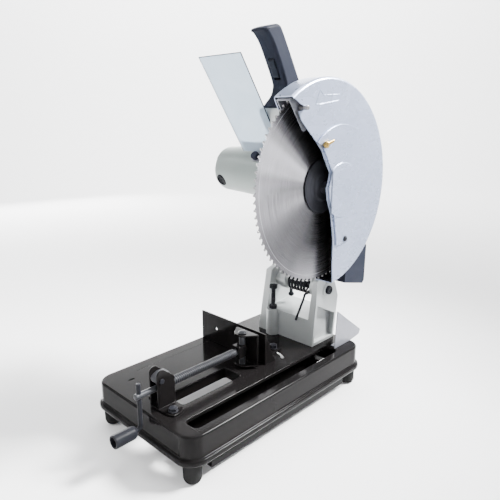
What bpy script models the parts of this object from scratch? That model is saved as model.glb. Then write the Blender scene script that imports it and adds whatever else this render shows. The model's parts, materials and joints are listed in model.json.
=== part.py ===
"""Bench-top dry-cut metal chop saw with a 355 mm toothed blade.

The head (motor, gear case, guards, handle) swings down on a pivot at the back of
a pressed steel base.  A screw vise and a swivelling fence hold the stock.

The design is written in millimetres and stored in metres (see MM).  +X is the
operator's right, -Y is the operator's side, +Z is up.  The origin is on the floor
under the middle of the saw.
"""
from math import acos, atan2, cos, degrees, hypot, pi, radians, sin

import bmesh
import bpy
from mathutils import Matrix, Vector
from mathutils.geometry import tessellate_polygon

MM = 0.001
GAP = 0.3

# Base
BASE_HALF_X = 135.0
BASE_HALF_Y = 234.5
BASE_TOP = 87.0
BASE_SHEET = 3.0
BASE_CORNER = 29.0
BASE_UNDER = 36.0
FLANGE_WIDTH = 27.0
FOOT_X = 115.0
FOOT_Y = 214.5
FOOT_RADIUS = 15.5
SLOT_X = (86.5, 117.0)
SLOT_Y = (-206.0, 174.5)

# Chip tray under the blade slot
TRAY_X = (58.0, 126.0)
TRAY_Y = (-184.0, 182.0)
TRAY_Z = (11.0, 35.0)
TRAY_SHEET = 1.5

# Head pivot
PIVOT_Y = 182.5
PIVOT_Z = 206.8
HEAD_SWING = 61.0
STOP_X = -38.0
STOP_Y = 147.0
STOP_TOP = 199.2
RISE_STOP = (-27.5, 195.5)

# Blade and arbor
BLADE_X = 101.85
BLADE_RADIUS = 177.5
BLADE_THICKNESS = 2.4
BLADE_TEETH = 90
TOOTH_DEPTH = 5.0
ARBOR_Y = 113.4
ARBOR_Z = 429.0
ARBOR_RADIUS = 12.4
FLANGE_RADIUS = 50.0

# Arm casting, between the stand's uprights
ARM_X = (-36.0, 57.0)

# Upper guard
GUARD_RADIUS = 189.0
GUARD_SHEET = 2.5
GUARD_X = (80.5, 123.0)
GUARD_FRONT_ANGLE = 125.2
GUARD_LOW_ANGLE = -83.6

# Chip chute behind the guard
CHUTE_X = (84.0, 108.0)

# Lower guard, retracted into the upper guard
SHROUD_RADIUS = 184.8
SHROUD_SHEET = 1.6
SHROUD_X = (88.0, 115.5)
SHROUD_ANGLES = (-13.5, 126.5)
SHROUD_INNER = 127.0
SHROUD_BAND = 152.0
FINGER_ANGLE = 123.2

# Motor and two-stage gear train
MOTOR_Y = 113.0
MOTOR_Z = 446.0
MOTOR_END = -139.5
MOTOR_RIGHT = 12.0
MOTOR_PINION_TEETH = 9
PINION_THINNING = 0.66
IDLER_GEAR_TEETH = 42
IDLER_PINION_TEETH = 11
OUTPUT_GEAR_TEETH = 42
FIRST_CENTRES = 40.0
SECOND_CENTRES = 48.0
GEAR_CASE_X = (20.3, 80.2)

# Handle: a point on the top of the grip's front face, and the grip's lean
GRIP_TOP_Y = 15.8
GRIP_TOP_Z = 684.7
GRIP_LEAN = 31.75
GRIP_DEPTH = 33.0
HANDLE_X = (28.0, 62.0)
HANDLE_FOOT = 566.3

# Shield: its lower left corner, its lean and its size
SHIELD_X = (-60.0, 43.0)
SHIELD_FOOT_Y = 78.9
SHIELD_FOOT_Z = 488.0
SHIELD_LEAN = 33.9
SHIELD_HEIGHT = 197.0
SHIELD_THICKNESS = 2.0
SHIELD_KNOB_X = -16.0
KNOB_ANGLE = 144.7

# Fence
FENCE_X = (-131.0, 53.0)
FENCE_Y = (21.0, 25.0)
FENCE_TOP = 150.0
FENCE_PIVOT = (25.0, 36.0)
FENCE_SLOT_RADIUS = 45.5
FENCE_LOCK_ANGLE = 95.0

# Vise
VISE_X = 24.0
VISE_Z = 122.5
SCREW_RADIUS = 8.0
SHAFT_RADIUS = 5.3
JAW_PIN_Y = -12.0
CRANK_Y = -245.0
KNOB_END = -296.0
KNOB_Z = 63.5
NUT_PIN_Y = -208.6
NUT_PIN_Z = 138.4

# Fixed guard, its hinged cover and the brush caps
GUARD_EDGE = [(27.5, 545.0), (40.7, 533.5), (62.1, 516.0), (84.0, 496.0), (105.4, 463.4), (111.4, 455.1),
              (107.0, 439.6),
              (102.4, 427.3), (106.5, 407.7), (120.0, 378.0), (129.8, 329.0), (131.0, 286.0)]
GUARD_CENTRE = (ARBOR_Y, ARBOR_Z)
PIN_PLACE = (29.5, 565.5)
COVER_CENTRE = (145.0, 428.0)
COVER_RADIUS = 111.0
COVER_SCREW = (164.0, 326.0)
WING_SCREW = (90.0, 505.0)
BRUSH_ANGLE = 118.0
BRUSH_RADIUS = 12.5


# ---------------------------------------------------------------- helpers

def make_material(name, colour, roughness, metallic=0.0, alpha=1.0):
    material = bpy.data.materials.new(name)
    material.use_nodes = True
    shader = material.node_tree.nodes["Principled BSDF"]
    shader.inputs["Base Color"].default_value = (*colour, 1.0)
    shader.inputs["Roughness"].default_value = roughness
    shader.inputs["Metallic"].default_value = metallic
    shader.inputs["Alpha"].default_value = alpha
    return material


def arc(centre, radius, start, end, steps):
    """Points on an arc from start to end degrees, both ends included."""
    points = []
    for step in range(steps + 1):
        angle = radians(start + (end - start) * step / steps)
        points.append((centre[0] + radius * cos(angle), centre[1] + radius * sin(angle)))
    return points


def circle(centre, radius, steps=24):
    return arc(centre, radius, 0.0, 360.0, steps)[:-1]


def rectangle(low_u, high_u, low_v, high_v):
    return [(low_u, low_v), (high_u, low_v), (high_u, high_v), (low_u, high_v)]


def rounded_rectangle(low_u, high_u, low_v, high_v, radius, steps=5):
    points = []
    corners = ((high_u - radius, high_v - radius, 0.0), (low_u + radius, high_v - radius, 90.0),
               (low_u + radius, low_v + radius, 180.0), (high_u - radius, low_v + radius, 270.0))
    for centre_u, centre_v, start in corners:
        points += arc((centre_u, centre_v), radius, start, start + 90.0, steps)
    return points


def curved_slot(centre, radius, half_width, start, end, steps=8):
    """A slot that follows an arc, with round ends."""
    first = (centre[0] + radius * cos(radians(start)), centre[1] + radius * sin(radians(start)))
    last = (centre[0] + radius * cos(radians(end)), centre[1] + radius * sin(radians(end)))
    points = arc(centre, radius + half_width, start, end, steps)
    points += arc(last, half_width, end, end + 180.0, 4)[1:-1]
    points += arc(centre, radius - half_width, end, start, steps)
    points += arc(first, half_width, start + 180.0, start + 360.0, 4)[1:-1]
    return points


def link_rings(bm, first, second):
    """Faces between two rings of vertices; a ring of one vertex is a tip."""
    count = max(len(first), len(second))
    for index in range(count):
        following = (index + 1) % count
        corners = [first[index % len(first)], first[following % len(first)],
                   second[following % len(second)], second[index % len(second)]]
        corners = list(dict.fromkeys(corners))
        if len(corners) > 2:
            bm.faces.new(corners)


def fill_outline(bm, loops):
    """Flat faces between an outer loop of vertices and its holes."""
    if len(loops) == 1:
        bm.faces.new(loops[0])
        return
    vertices = [vertex for loop in loops for vertex in loop]
    for triangle in tessellate_polygon([[vertex.co for vertex in loop] for loop in loops]):
        bm.faces.new([vertices[index] for index in triangle])


def slab(outer, low, high, holes=()):
    """An outline in (u, v) with optional holes, extruded along w from low to high."""
    bm = bmesh.new()
    bottom = [[bm.verts.new((u, v, low)) for u, v in loop] for loop in (outer, *holes)]
    top = [[bm.verts.new((u, v, high)) for u, v in loop] for loop in (outer, *holes)]
    for lower, upper in zip(bottom, top):
        link_rings(bm, lower, upper)
    fill_outline(bm, bottom)
    fill_outline(bm, top)
    return bm


def turned(profile, centre=(0.0, 0.0), steps=24, ring=False):
    """A body of revolution; the profile is a list of (place along the axis, radius)."""
    bm = bmesh.new()
    rings = []
    for along, radius in profile:
        if radius < 1e-6:
            rings.append([bm.verts.new((centre[0], centre[1], along))])
        else:
            rings.append([bm.verts.new((u, v, along)) for u, v in circle(centre, radius, steps)])
    for first, second in zip(rings, rings[1:]):
        link_rings(bm, first, second)
    if ring:
        link_rings(bm, rings[-1], rings[0])
    return bm


def block(low, high):
    """A box between two corners, in world axes."""
    return slab(rectangle(low[0], high[0], low[1], high[1]), low[2], high[2])


def six_sided(bottom, top):
    """A solid between two four-sided loops of (x, y, z) points."""
    bm = bmesh.new()
    lower = [bm.verts.new(point) for point in bottom]
    upper = [bm.verts.new(point) for point in top]
    link_rings(bm, lower, upper)
    bm.faces.new(lower)
    bm.faces.new(upper)
    return bm


# Local (u, v, w) axes of an outline, for each direction of extrusion
DIRECTIONS = {
    "X": Matrix(((0, 0, 1, 0), (1, 0, 0, 0), (0, 1, 0, 0), (0, 0, 0, 1))),
    "Y": Matrix(((1, 0, 0, 0), (0, 0, 1, 0), (0, 1, 0, 0), (0, 0, 0, 1))),
    "Z": Matrix.Identity(4),
}

# Each moving body's empty stands on its joint's axis
BODIES = {}


def make_body(name, place, parent=None):
    empty = bpy.data.objects.new(f"axis_of_{name}", None)
    empty.empty_display_size = 0.02
    bpy.context.scene.collection.objects.link(empty)
    origin = Vector(place) * MM
    if parent:
        empty.parent = BODIES[parent][0]
        empty.location = origin - BODIES[parent][1]
    else:
        empty.location = origin
    BODIES[name] = (empty, origin)


def make_object(name, bm, direction, material, body=None):
    """Store a bmesh, drawn in millimetres in world axes, as an object of a body."""
    bm.transform(DIRECTIONS[direction])
    bm.transform(Matrix.Scale(MM, 4))
    if body:
        bm.transform(Matrix.Translation(-BODIES[body][1]))
    bmesh.ops.recalc_face_normals(bm, faces=bm.faces)
    mesh = bpy.data.meshes.new(name)
    bm.to_mesh(mesh)
    bm.free()
    if material:
        mesh.materials.append(material)
    mesh.shade_smooth()
    mesh.set_sharp_from_angle(angle=radians(35.0))
    made = bpy.data.objects.new(name, mesh)
    bpy.context.scene.collection.objects.link(made)
    if body:
        made.parent = BODIES[body][0]
    return made


def combine(target, operation, bm, direction="Z"):
    """Change an object with a hidden tool shape: DIFFERENCE, UNION or INTERSECT."""
    count = len(target.modifiers) + 1
    tool = make_object(f"tool_{target.name}_{count}", bm, direction, None)
    tool.hide_render = True
    tool.display_type = "WIRE"
    modifier = target.modifiers.new(f"{operation.lower()}_{count}", "BOOLEAN")
    modifier.operation = operation
    modifier.solver = "EXACT"
    modifier.object = tool


def gear_outline(teeth, module, centre, phase, width=1.0):
    """Straight-sided teeth with backlash; phase is one tooth's angle, width thins the teeth."""
    points = []
    tip = module * (teeth / 2.0 + 0.6)
    root = module * (teeth / 2.0 - 1.05)
    pitch = 360.0 / teeth
    for tooth in range(teeth):
        middle = phase + tooth * pitch
        for radius, share in ((root, -0.23), (tip, -0.08), (tip, 0.08), (root, 0.23)):
            angle = radians(middle + share * pitch * width)
            points.append((centre[0] + radius * cos(angle), centre[1] + radius * sin(angle)))
    return points


def hexagon(centre, across_flats):
    return circle(centre, across_flats / 2.0 / cos(radians(30.0)), 6)


def make_tube(name, points, radius, material, body=None, resolution=3):
    """A round bar along a list of (x, y, z) points."""
    curve = bpy.data.curves.new(name, "CURVE")
    curve.dimensions = "3D"
    curve.bevel_depth = radius * MM
    curve.bevel_resolution = resolution
    curve.use_fill_caps = True
    spline = curve.splines.new("POLY")
    spline.points.add(len(points) - 1)
    origin = BODIES[body][1] if body else Vector((0.0, 0.0, 0.0))
    for point, place in zip(spline.points, points):
        point.co = (*(Vector(place) * MM - origin), 1.0)
    curve.materials.append(material)
    made = bpy.data.objects.new(name, curve)
    bpy.context.scene.collection.objects.link(made)
    if body:
        made.parent = BODIES[body][0]
    return made


# ---------------------------------------------------------------- base

def base_loop(offset):
    radius = max(BASE_CORNER + offset, 2.0)
    return rounded_rectangle(-BASE_HALF_X - offset, BASE_HALF_X + offset,
                             -BASE_HALF_Y - offset, BASE_HALF_Y + offset, radius)


def make_base_pan(material):
    """A deep pressed pan: rolled lip, inner flange, blade slot, vise opening and mitre slot."""
    rim = ((-3.5, BASE_TOP), (-1.0, 86.1), (0.0, 83.6), (0.0, 49.0), (4.4, 47.2), (5.6, 44.6),
           (5.6, 40.0), (4.4, 37.2), (2.0, BASE_UNDER), (-FLANGE_WIDTH, BASE_UNDER),
           (-FLANGE_WIDTH, 38.5), (-BASE_SHEET, 38.5), (-BASE_SHEET, 82.0), (-5.5, BASE_TOP - BASE_SHEET))
    slot = rounded_rectangle(*SLOT_X, *SLOT_Y, 10.3, 5)
    slot_skirt = rounded_rectangle(SLOT_X[0] - 2.0, SLOT_X[1] + 2.0, SLOT_Y[0] - 2.0, SLOT_Y[1] + 2.0,
                                   12.3, 5)
    mitre = curved_slot(FENCE_PIVOT, FENCE_SLOT_RADIUS, 3.6, 46.0, 99.0)
    pivot_hole = circle(FENCE_PIVOT, 4.4, 12)
    dimple = rounded_rectangle(-88.0, -83.0, -196.0, -182.0, 2.4, 3)
    opening = rounded_rectangle(5.0, 48.0, -176.0, -40.0, 5.0, 3)
    opening_skirt = rounded_rectangle(3.0, 50.0, -178.0, -38.0, 7.0, 3)
    under = BASE_TOP - BASE_SHEET
    bm = bmesh.new()
    loops = [[bm.verts.new((x, y, z)) for x, y in base_loop(offset)] for offset, z in rim]
    for first, second in zip(loops, loops[1:]):
        link_rings(bm, first, second)
    top_loops = [loops[0]]
    under_loops = [loops[-1]]
    for hole in (mitre, pivot_hole, dimple):
        top_loops.append([bm.verts.new((x, y, BASE_TOP)) for x, y in hole])
        under_loops.append([bm.verts.new((x, y, under)) for x, y in hole])
        link_rings(bm, top_loops[-1], under_loops[-1])
    for inner, outer, low in ((opening, opening_skirt, BASE_TOP - 20.0), (slot, slot_skirt, BASE_TOP - 6.0)):
        skirt = [[bm.verts.new((x, y, z)) for x, y in outline]
                 for outline, z in ((inner, BASE_TOP), (inner, low), (outer, low), (outer, under))]
        for first, second in zip(skirt, skirt[1:]):
            link_rings(bm, first, second)
        top_loops.append(skirt[0])
        under_loops.append(skirt[-1])
    fill_outline(bm, top_loops)
    fill_outline(bm, under_loops)
    pan = make_object("base_pan", bm, "Z", material)
    rail_top = BASE_UNDER + 1.2
    for end, inward in ((TRAY_Y[0] - 9.5, 1.0), (TRAY_Y[1] + 9.5, -1.0)):
        rail = [(end, rail_top), (end, 28.2), (end + 6.5 * inward, 28.2), (end + 6.5 * inward, 29.7),
                (end + 1.5 * inward, 29.7), (end + 1.5 * inward, rail_top)]
        combine(pan, "UNION", slab(rail, TRAY_X[0] + 4.0, BASE_HALF_X - 4.0), "X")
    return pan


def make_feet(material):
    profile = [(0.0, 0.0), (0.0, 11.0), (1.2, 14.0), (4.5, 15.2), (30.0, FOOT_RADIUS),
               (BASE_UNDER - GAP, FOOT_RADIUS), (BASE_UNDER - GAP, 0.0)]
    for name, x, y in (("foot_front_left", -FOOT_X, -FOOT_Y), ("foot_front_right", FOOT_X, -FOOT_Y),
                       ("foot_rear_left", -FOOT_X, FOOT_Y), ("foot_rear_right", FOOT_X, FOOT_Y)):
        make_object(name, turned(profile, (x, y), 20), "Z", material)


def make_chip_tray(material):
    """An open drawer whose end lips slide along the rails under the pan."""
    low, high = TRAY_Y
    floor, rim = TRAY_Z
    section = [(low, floor), (high, floor), (high, 30.0), (high + 6.0, 30.0), (high + 6.0, 31.5),
               (high, 31.5), (high, rim), (low, rim), (low, 31.5), (low - 6.0, 31.5), (low - 6.0, 30.0),
               (low, 30.0)]
    tray = make_object("chip_tray", slab(section, *TRAY_X), "X", material, "tray")
    inside = block((TRAY_X[0] + TRAY_SHEET, low + TRAY_SHEET, floor + TRAY_SHEET),
                   (TRAY_X[1] - TRAY_SHEET, high - TRAY_SHEET, rim + 2.0))
    combine(tray, "DIFFERENCE", inside)


def make_stand(material):
    """The cast bracket that carries the head pivot between its two uprights."""
    foot = BASE_TOP + GAP
    front = [(-80.5, foot), (70.0, foot), (77.5, 185.0), (78.5, 250.0), (-47.0, 250.0), (-59.0, 229.5),
             (-73.5, 136.5)]
    side = [(STOP_Y, foot), (223.0, foot), (223.0, 184.0), (211.0, 214.0)]
    side += arc((187.0, 216.0), 21.0, 10.0, 90.0, 5)
    side += [(160.0, 238.5), (STOP_Y, 231.0)]
    stand = make_object("stand", slab(front, STOP_Y, 223.0), "Y", material)
    combine(stand, "INTERSECT", slab(side, -90.0, 90.0), "X")
    window = six_sided([(-54.0, 140.0, 143.9), (57.7, 140.0, 143.9), (57.7, 230.0, 151.6),
                        (-54.0, 230.0, 151.6)],
                       [(-40.0, 140.0, 262.0), (71.5, 140.0, 262.0), (71.5, 230.0, 262.0),
                        (-40.0, 230.0, 262.0)])
    combine(stand, "DIFFERENCE", window)
    hollow = six_sided([(-70.0, 153.0, 80.0), (56.0, 153.0, 80.0), (56.0, 230.0, 80.0), (-70.0, 230.0, 80.0)],
                       [(-64.0, 153.0, 138.5), (56.0, 153.0, 138.5), (56.0, 230.0, 144.5),
                        (-64.0, 230.0, 144.5)])
    combine(stand, "DIFFERENCE", hollow)
    pocket = [(153.0, 94.0), (217.0, 94.0), (217.0, 145.5), (153.0, 177.5)]
    combine(stand, "DIFFERENCE", slab(pocket, 62.0, 90.0), "X")
    combine(stand, "UNION", slab(circle((STOP_X, STOP_Y), 15.0, 24), foot, 145.3), "Z")
    combine(stand, "UNION", slab(circle((PIVOT_Y, PIVOT_Z), 18.0, 24), -55.0, ARM_X[0] - 0.5), "X")
    combine(stand, "UNION", slab(circle((PIVOT_Y, PIVOT_Z), 15.0, 24), 60.0, 80.0), "X")
    combine(stand, "UNION", slab(circle((PIVOT_Y, PIVOT_Z), 18.0, 24), ARM_X[1] + 0.5, 66.0), "X")
    combine(stand, "DIFFERENCE", slab(circle((PIVOT_Y, PIVOT_Z), 8.0 + GAP, 24), -90.0, 90.0), "X")
    combine(stand, "DIFFERENCE", slab(circle((STOP_X, STOP_Y), 5.0 + GAP, 16), 100.0, 150.0), "Z")


def make_pivot(black):
    """The pivot shaft, held by a head on the right and a nut on the left."""
    axis = (PIVOT_Y, PIVOT_Z)
    shaft = [(-84.0, 0.0), (-84.0, 7.0), (-83.0, 8.0), (80.3, 8.0), (80.3, 9.2), (84.5, 9.2), (86.0, 8.2),
             (86.0, 0.0)]
    make_object("pivot_shaft", turned(shaft, axis, 24), "X", black)
    nut = slab(hexagon(axis, 24.0), -80.0, -71.5, [circle(axis, 8.0 + GAP, 24)])
    make_object("pivot_nut", nut, "X", black)


def make_stop(black):
    """The adjustable down stop: a bolt in the stand's front boss with a lock nut."""
    axis = (STOP_X, STOP_Y)
    bolt = [(104.0, 0.0), (104.0, 5.0), (193.0, 5.0), (193.0, 8.0), (194.5, 8.6), (198.2, 8.6),
            (STOP_TOP, 7.6), (STOP_TOP, 0.0)]
    make_object("stop_bolt", turned(bolt, axis, 20), "Z", black)
    nut = slab(hexagon(axis, 16.5), 145.6, 152.8, [circle(axis, 5.0 + GAP, 20)])
    make_object("stop_nut", nut, "Z", black)


def make_torsion_spring(material):
    """The return spring: its front leg bears on the stand's front wall."""
    radius = 17.0
    turns = 7
    start_x = -14.0
    pitch = 8.0
    points = [(start_x - 2.0, PIVOT_Y + 8.0, PIVOT_Z + 36.0), (start_x - 1.0, PIVOT_Y + 14.0, PIVOT_Z + 20.0)]
    first_angle = 30.0
    last_angle = first_angle + 360.0 * turns - 210.0
    steps = 70
    for step in range(steps + 1):
        angle = first_angle - (last_angle - first_angle) * step / steps
        along = start_x + pitch * (first_angle - angle) / 360.0
        points.append((along, PIVOT_Y + radius * cos(radians(angle)), PIVOT_Z + radius * sin(radians(angle))))
    end_x = points[-1][0]
    points += [(end_x + 3.0, 157.0, 194.0), (end_x + 4.0, 151.0, 184.0), (end_x - 9.0, 143.4, 137.0)]
    make_tube("torsion_spring", points, 2.5, material, None, 2)


def make_deflector(material):
    """A bent sheet behind the blade slot that throws chips down into the tray."""
    plate = [(173.0, BASE_TOP + GAP), (228.0, BASE_TOP + GAP), (264.0, 92.0), (268.5, 102.0),
             (179.5, 167.5), (178.0, 167.5)]
    made = make_object("deflector_plate", slab(plate, 107.6, 109.4), "X", material)
    combine(made, "UNION", block((94.0, 180.0, BASE_TOP + GAP), (108.5, 226.0, BASE_TOP + GAP + 1.8)))


# ---------------------------------------------------------------- fence and vise

def make_fence(material, steel):
    """Angle fence with a rear tongue that carries its pivot and lock bolts."""
    foot = BASE_TOP + GAP
    plate = rectangle(*FENCE_X, foot, FENCE_TOP)
    hole = circle((-86.8, 119.8), 3.4, 12)
    fence = make_object("fence", slab(plate, *FENCE_Y, [hole]), "Y", material, "fence")
    lock = arc(FENCE_PIVOT, FENCE_SLOT_RADIUS, FENCE_LOCK_ANGLE, FENCE_LOCK_ANGLE, 1)[0]
    tongue = [(-2.0, 24.0), (FENCE_X[1], 24.0), (FENCE_X[1], 40.0), (36.0, 58.0), (33.0, 92.0),
              (9.0, 92.0), (2.0, 58.0)]
    combine(fence, "UNION", slab(tongue, foot, foot + 4.0), "Z")
    gusset = [(24.0, foot), (51.0, foot), (24.0, FENCE_TOP - 1.0)]
    combine(fence, "UNION", slab(gusset, FENCE_X[1] - 3.5, FENCE_X[1]), "X")
    combine(fence, "DIFFERENCE", slab(circle(FENCE_PIVOT, 4.0 + GAP, 16), 80.0, 96.0), "Z")
    combine(fence, "DIFFERENCE", slab(circle(lock, 3.0 + GAP, 16), 80.0, 96.0), "Z")
    head = foot + 4.0 + GAP
    pivot = [(78.0, 0.0), (78.0, 4.0), (head, 4.0), (head, 9.0), (head + 5.0, 9.0), (head + 6.0, 8.0),
             (head + 6.0, 0.0)]
    make_object("fence_pivot_bolt", turned(pivot, FENCE_PIVOT, 16), "Z", steel)
    bolt = [(78.0, 0.0), (78.0, 3.0), (head, 3.0), (head, 10.0), (head + 1.8, 10.0), (head + 1.8, 7.5),
            (head + 7.5, 7.5), (head + 8.5, 6.5), (head + 8.5, 0.0)]
    make_object("fence_lock_bolt", turned(bolt, lock, 16), "Z", steel, "fence")


def make_vise_bracket(black, steel):
    """A folded bracket whose two cheeks carry the split nut's hinge pin."""
    foot = BASE_TOP + GAP
    inner = 8.7
    outer = inner + 3.0
    cheek = [(-217.0, foot), (-182.0, foot), (-182.0, 138.0)]
    cheek += arc((-207.0, 147.0), 10.0, 70.0, 180.0, 5)
    bracket = make_object("vise_bracket", slab(cheek, VISE_X - outer, VISE_X + outer), "X", black)
    combine(bracket, "DIFFERENCE", block((VISE_X - inner, -230.0, foot + 3.0),
                                         (VISE_X + inner, -170.0, 170.0)))
    tab = [(VISE_X - 36.0, -204.0), (VISE_X - 36.0, -184.0), (VISE_X + 34.0, -184.0), (VISE_X + 43.0, -196.0),
           (VISE_X + 43.0, -210.0), (VISE_X + 34.0, -214.5), (VISE_X + 10.0, -216.5), (VISE_X + 9.0, -204.0)]
    combine(bracket, "UNION", slab(tab, foot, foot + 3.0), "Z")
    pin_hole = slab(circle((NUT_PIN_Y, NUT_PIN_Z), 3.0 + GAP, 16), VISE_X - 20.0, VISE_X + 20.0)
    combine(bracket, "DIFFERENCE", pin_hole, "X")
    bolt_place = (VISE_X + 32.0, -203.0)
    combine(bracket, "DIFFERENCE", slab(circle(bolt_place, 3.0 + GAP, 16), foot - 2.0, foot + 6.0), "Z")
    pin = [(VISE_X - 13.6, 0.0), (VISE_X - 13.6, 2.6), (VISE_X - 13.2, 3.0), (VISE_X + 12.1, 3.0),
           (VISE_X + 12.1, 4.6), (VISE_X + 14.0, 4.2), (VISE_X + 14.0, 0.0)]
    make_object("nut_pin", turned(pin, (NUT_PIN_Y, NUT_PIN_Z), 16), "X", steel)
    head = foot + 3.0 + GAP
    bolt = [(foot + 0.2, 0.0), (foot + 0.2, 3.0), (head, 3.0), (head, 8.0), (head + 1.5, 8.0),
            (head + 1.5, 6.6),
            (head + 6.0, 6.6), (head + 7.0, 5.8), (head + 7.0, 0.0)]
    make_object("bracket_bolt", turned(bolt, bolt_place, 16), "Z", steel)


def make_half_nut(material):
    """A cast lever with half a thread: it flips up off the screw for quick setting."""
    half = 8.3
    outline = arc((NUT_PIN_Y, NUT_PIN_Z), 7.6, 110.0, 250.0, 8)
    outline += [(-204.0, VISE_Z + 2.0), (-184.5, VISE_Z + 2.0), (-183.0, 136.0), (-190.0, 147.5),
                (-203.0, 149.0)]
    nut = make_object("half_nut", slab(outline, VISE_X - half, VISE_X + half), "X", material, "half_nut")
    combine(nut, "DIFFERENCE", slab(circle((VISE_X, VISE_Z), SCREW_RADIUS + GAP, 28), -230.0, -170.0), "Y")
    bore = slab(circle((NUT_PIN_Y, NUT_PIN_Z), 3.0 + GAP, 16), VISE_X - 20.0, VISE_X + 20.0)
    combine(nut, "DIFFERENCE", bore, "X")


def make_vise_screw(steel, black):
    """The vise screw, its bent crank rod and the hollow knob that spins on the rod."""
    axis = (VISE_X, VISE_Z)
    thread_start = -206.0
    tip = CRANK_Y - 7.5
    screw = [(tip, 0.0), (tip, SHAFT_RADIUS - 1.0), (tip + 1.0, SHAFT_RADIUS),
             (thread_start - 2.0, SHAFT_RADIUS),
             (thread_start, SCREW_RADIUS), (-35.0, SCREW_RADIUS), (-33.5, 6.0), (-22.0, 6.0), (-22.0, 0.0)]
    made = make_object("vise_screw", turned(screw, axis, 28), "Y", steel, "crank")
    combine(made, "DIFFERENCE", slab(circle((VISE_X, CRANK_Y), 3.8 + GAP, 16), 100.0, 140.0), "Z")
    bend = 8.0
    rod = [(VISE_X, CRANK_Y, 144.0), (VISE_X, CRANK_Y, 143.0), (VISE_X, CRANK_Y, KNOB_Z + bend)]
    rod += [(VISE_X, y, z) for y, z in arc((CRANK_Y - bend, KNOB_Z + bend), bend, 0.0, -90.0, 6)[1:]]
    rod += [(VISE_X, KNOB_END + 14.0, KNOB_Z)]
    make_tube("crank_rod", rod, 3.8, black, "crank", 2)
    start = CRANK_Y - bend - 2.0
    knob = [(start, 3.8 + GAP), (start, 8.0), (start - 5.0, 10.8), (KNOB_END + 1.5, 11.5), (KNOB_END, 10.5),
            (KNOB_END, 8.5), (KNOB_END + 20.0, 8.5), (KNOB_END + 22.0, 3.8 + GAP)]
    make_object("crank_knob", turned(knob, (VISE_X, KNOB_Z), 24, ring=True), "Y", black, "knob")


def make_jaw(black, steel):
    """The end block on the screw, the upright pin and the channel-shaped jaw on it."""
    pin_axis = (VISE_X, JAW_PIN_Y)
    outline = arc(pin_axis, 10.0, 0.0, 180.0, 8) + [(VISE_X - 10.0, -30.0), (VISE_X + 10.0, -30.0)]
    jaw_block = make_object("jaw_block", slab(outline, 111.0, 134.0), "Z", black, "carriage")
    combine(jaw_block, "DIFFERENCE", slab(circle(pin_axis, 6.2 + GAP, 16), 100.0, 145.0), "Z")
    combine(jaw_block, "DIFFERENCE", slab(circle((VISE_X, VISE_Z), 6.0 + GAP, 20), -40.0, -15.0), "Y")
    pin = [(89.5, 0.0), (89.5, 6.2), (156.2, 6.2), (156.2, 8.0), (158.0, 7.6), (160.0, 5.0), (160.5, 0.0)]
    make_object("jaw_pin", turned(pin, pin_axis, 16), "Z", steel, "carriage")
    half = 28.0
    face = [(VISE_X - half, 3.5), (VISE_X - half, 0.0), (VISE_X - 17.0, -16.0), (VISE_X - 8.0, -24.0),
            (VISE_X + 8.0, -24.0), (VISE_X + 17.0, -16.0), (VISE_X + half, 0.0), (VISE_X + half, 3.5)]
    jaw = make_object("jaw_face", slab(face, 91.0, 155.6), "Z", black, "jaw")
    combine(jaw, "DIFFERENCE", block((VISE_X - 40.0, -40.0, 94.0), (VISE_X + 40.0, 0.5, 152.6)))
    combine(jaw, "DIFFERENCE", slab(circle(pin_axis, 6.2 + GAP, 16), 80.0, 170.0), "Z")


# ---------------------------------------------------------------- head

def idler_place():
    """The idler shaft, behind the line from the arbor to the motor shaft."""
    across, up = MOTOR_Y - ARBOR_Y, MOTOR_Z - ARBOR_Z
    distance = hypot(across, up)
    cosine = (SECOND_CENTRES ** 2 + distance ** 2 - FIRST_CENTRES ** 2) / (2.0 * SECOND_CENTRES * distance)
    angle = atan2(up, across) - acos(cosine)
    return ARBOR_Y + SECOND_CENTRES * cos(angle), ARBOR_Z + SECOND_CENTRES * sin(angle)


def stop_face(distance):
    """A point on the arm's front face, which is level with the stop when the head is down."""
    angle = radians(HEAD_SWING)
    offset = PIVOT_Z - STOP_TOP - GAP
    return (PIVOT_Y - offset * sin(angle) - distance * cos(angle),
            PIVOT_Z - offset * cos(angle) + distance * sin(angle))


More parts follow.
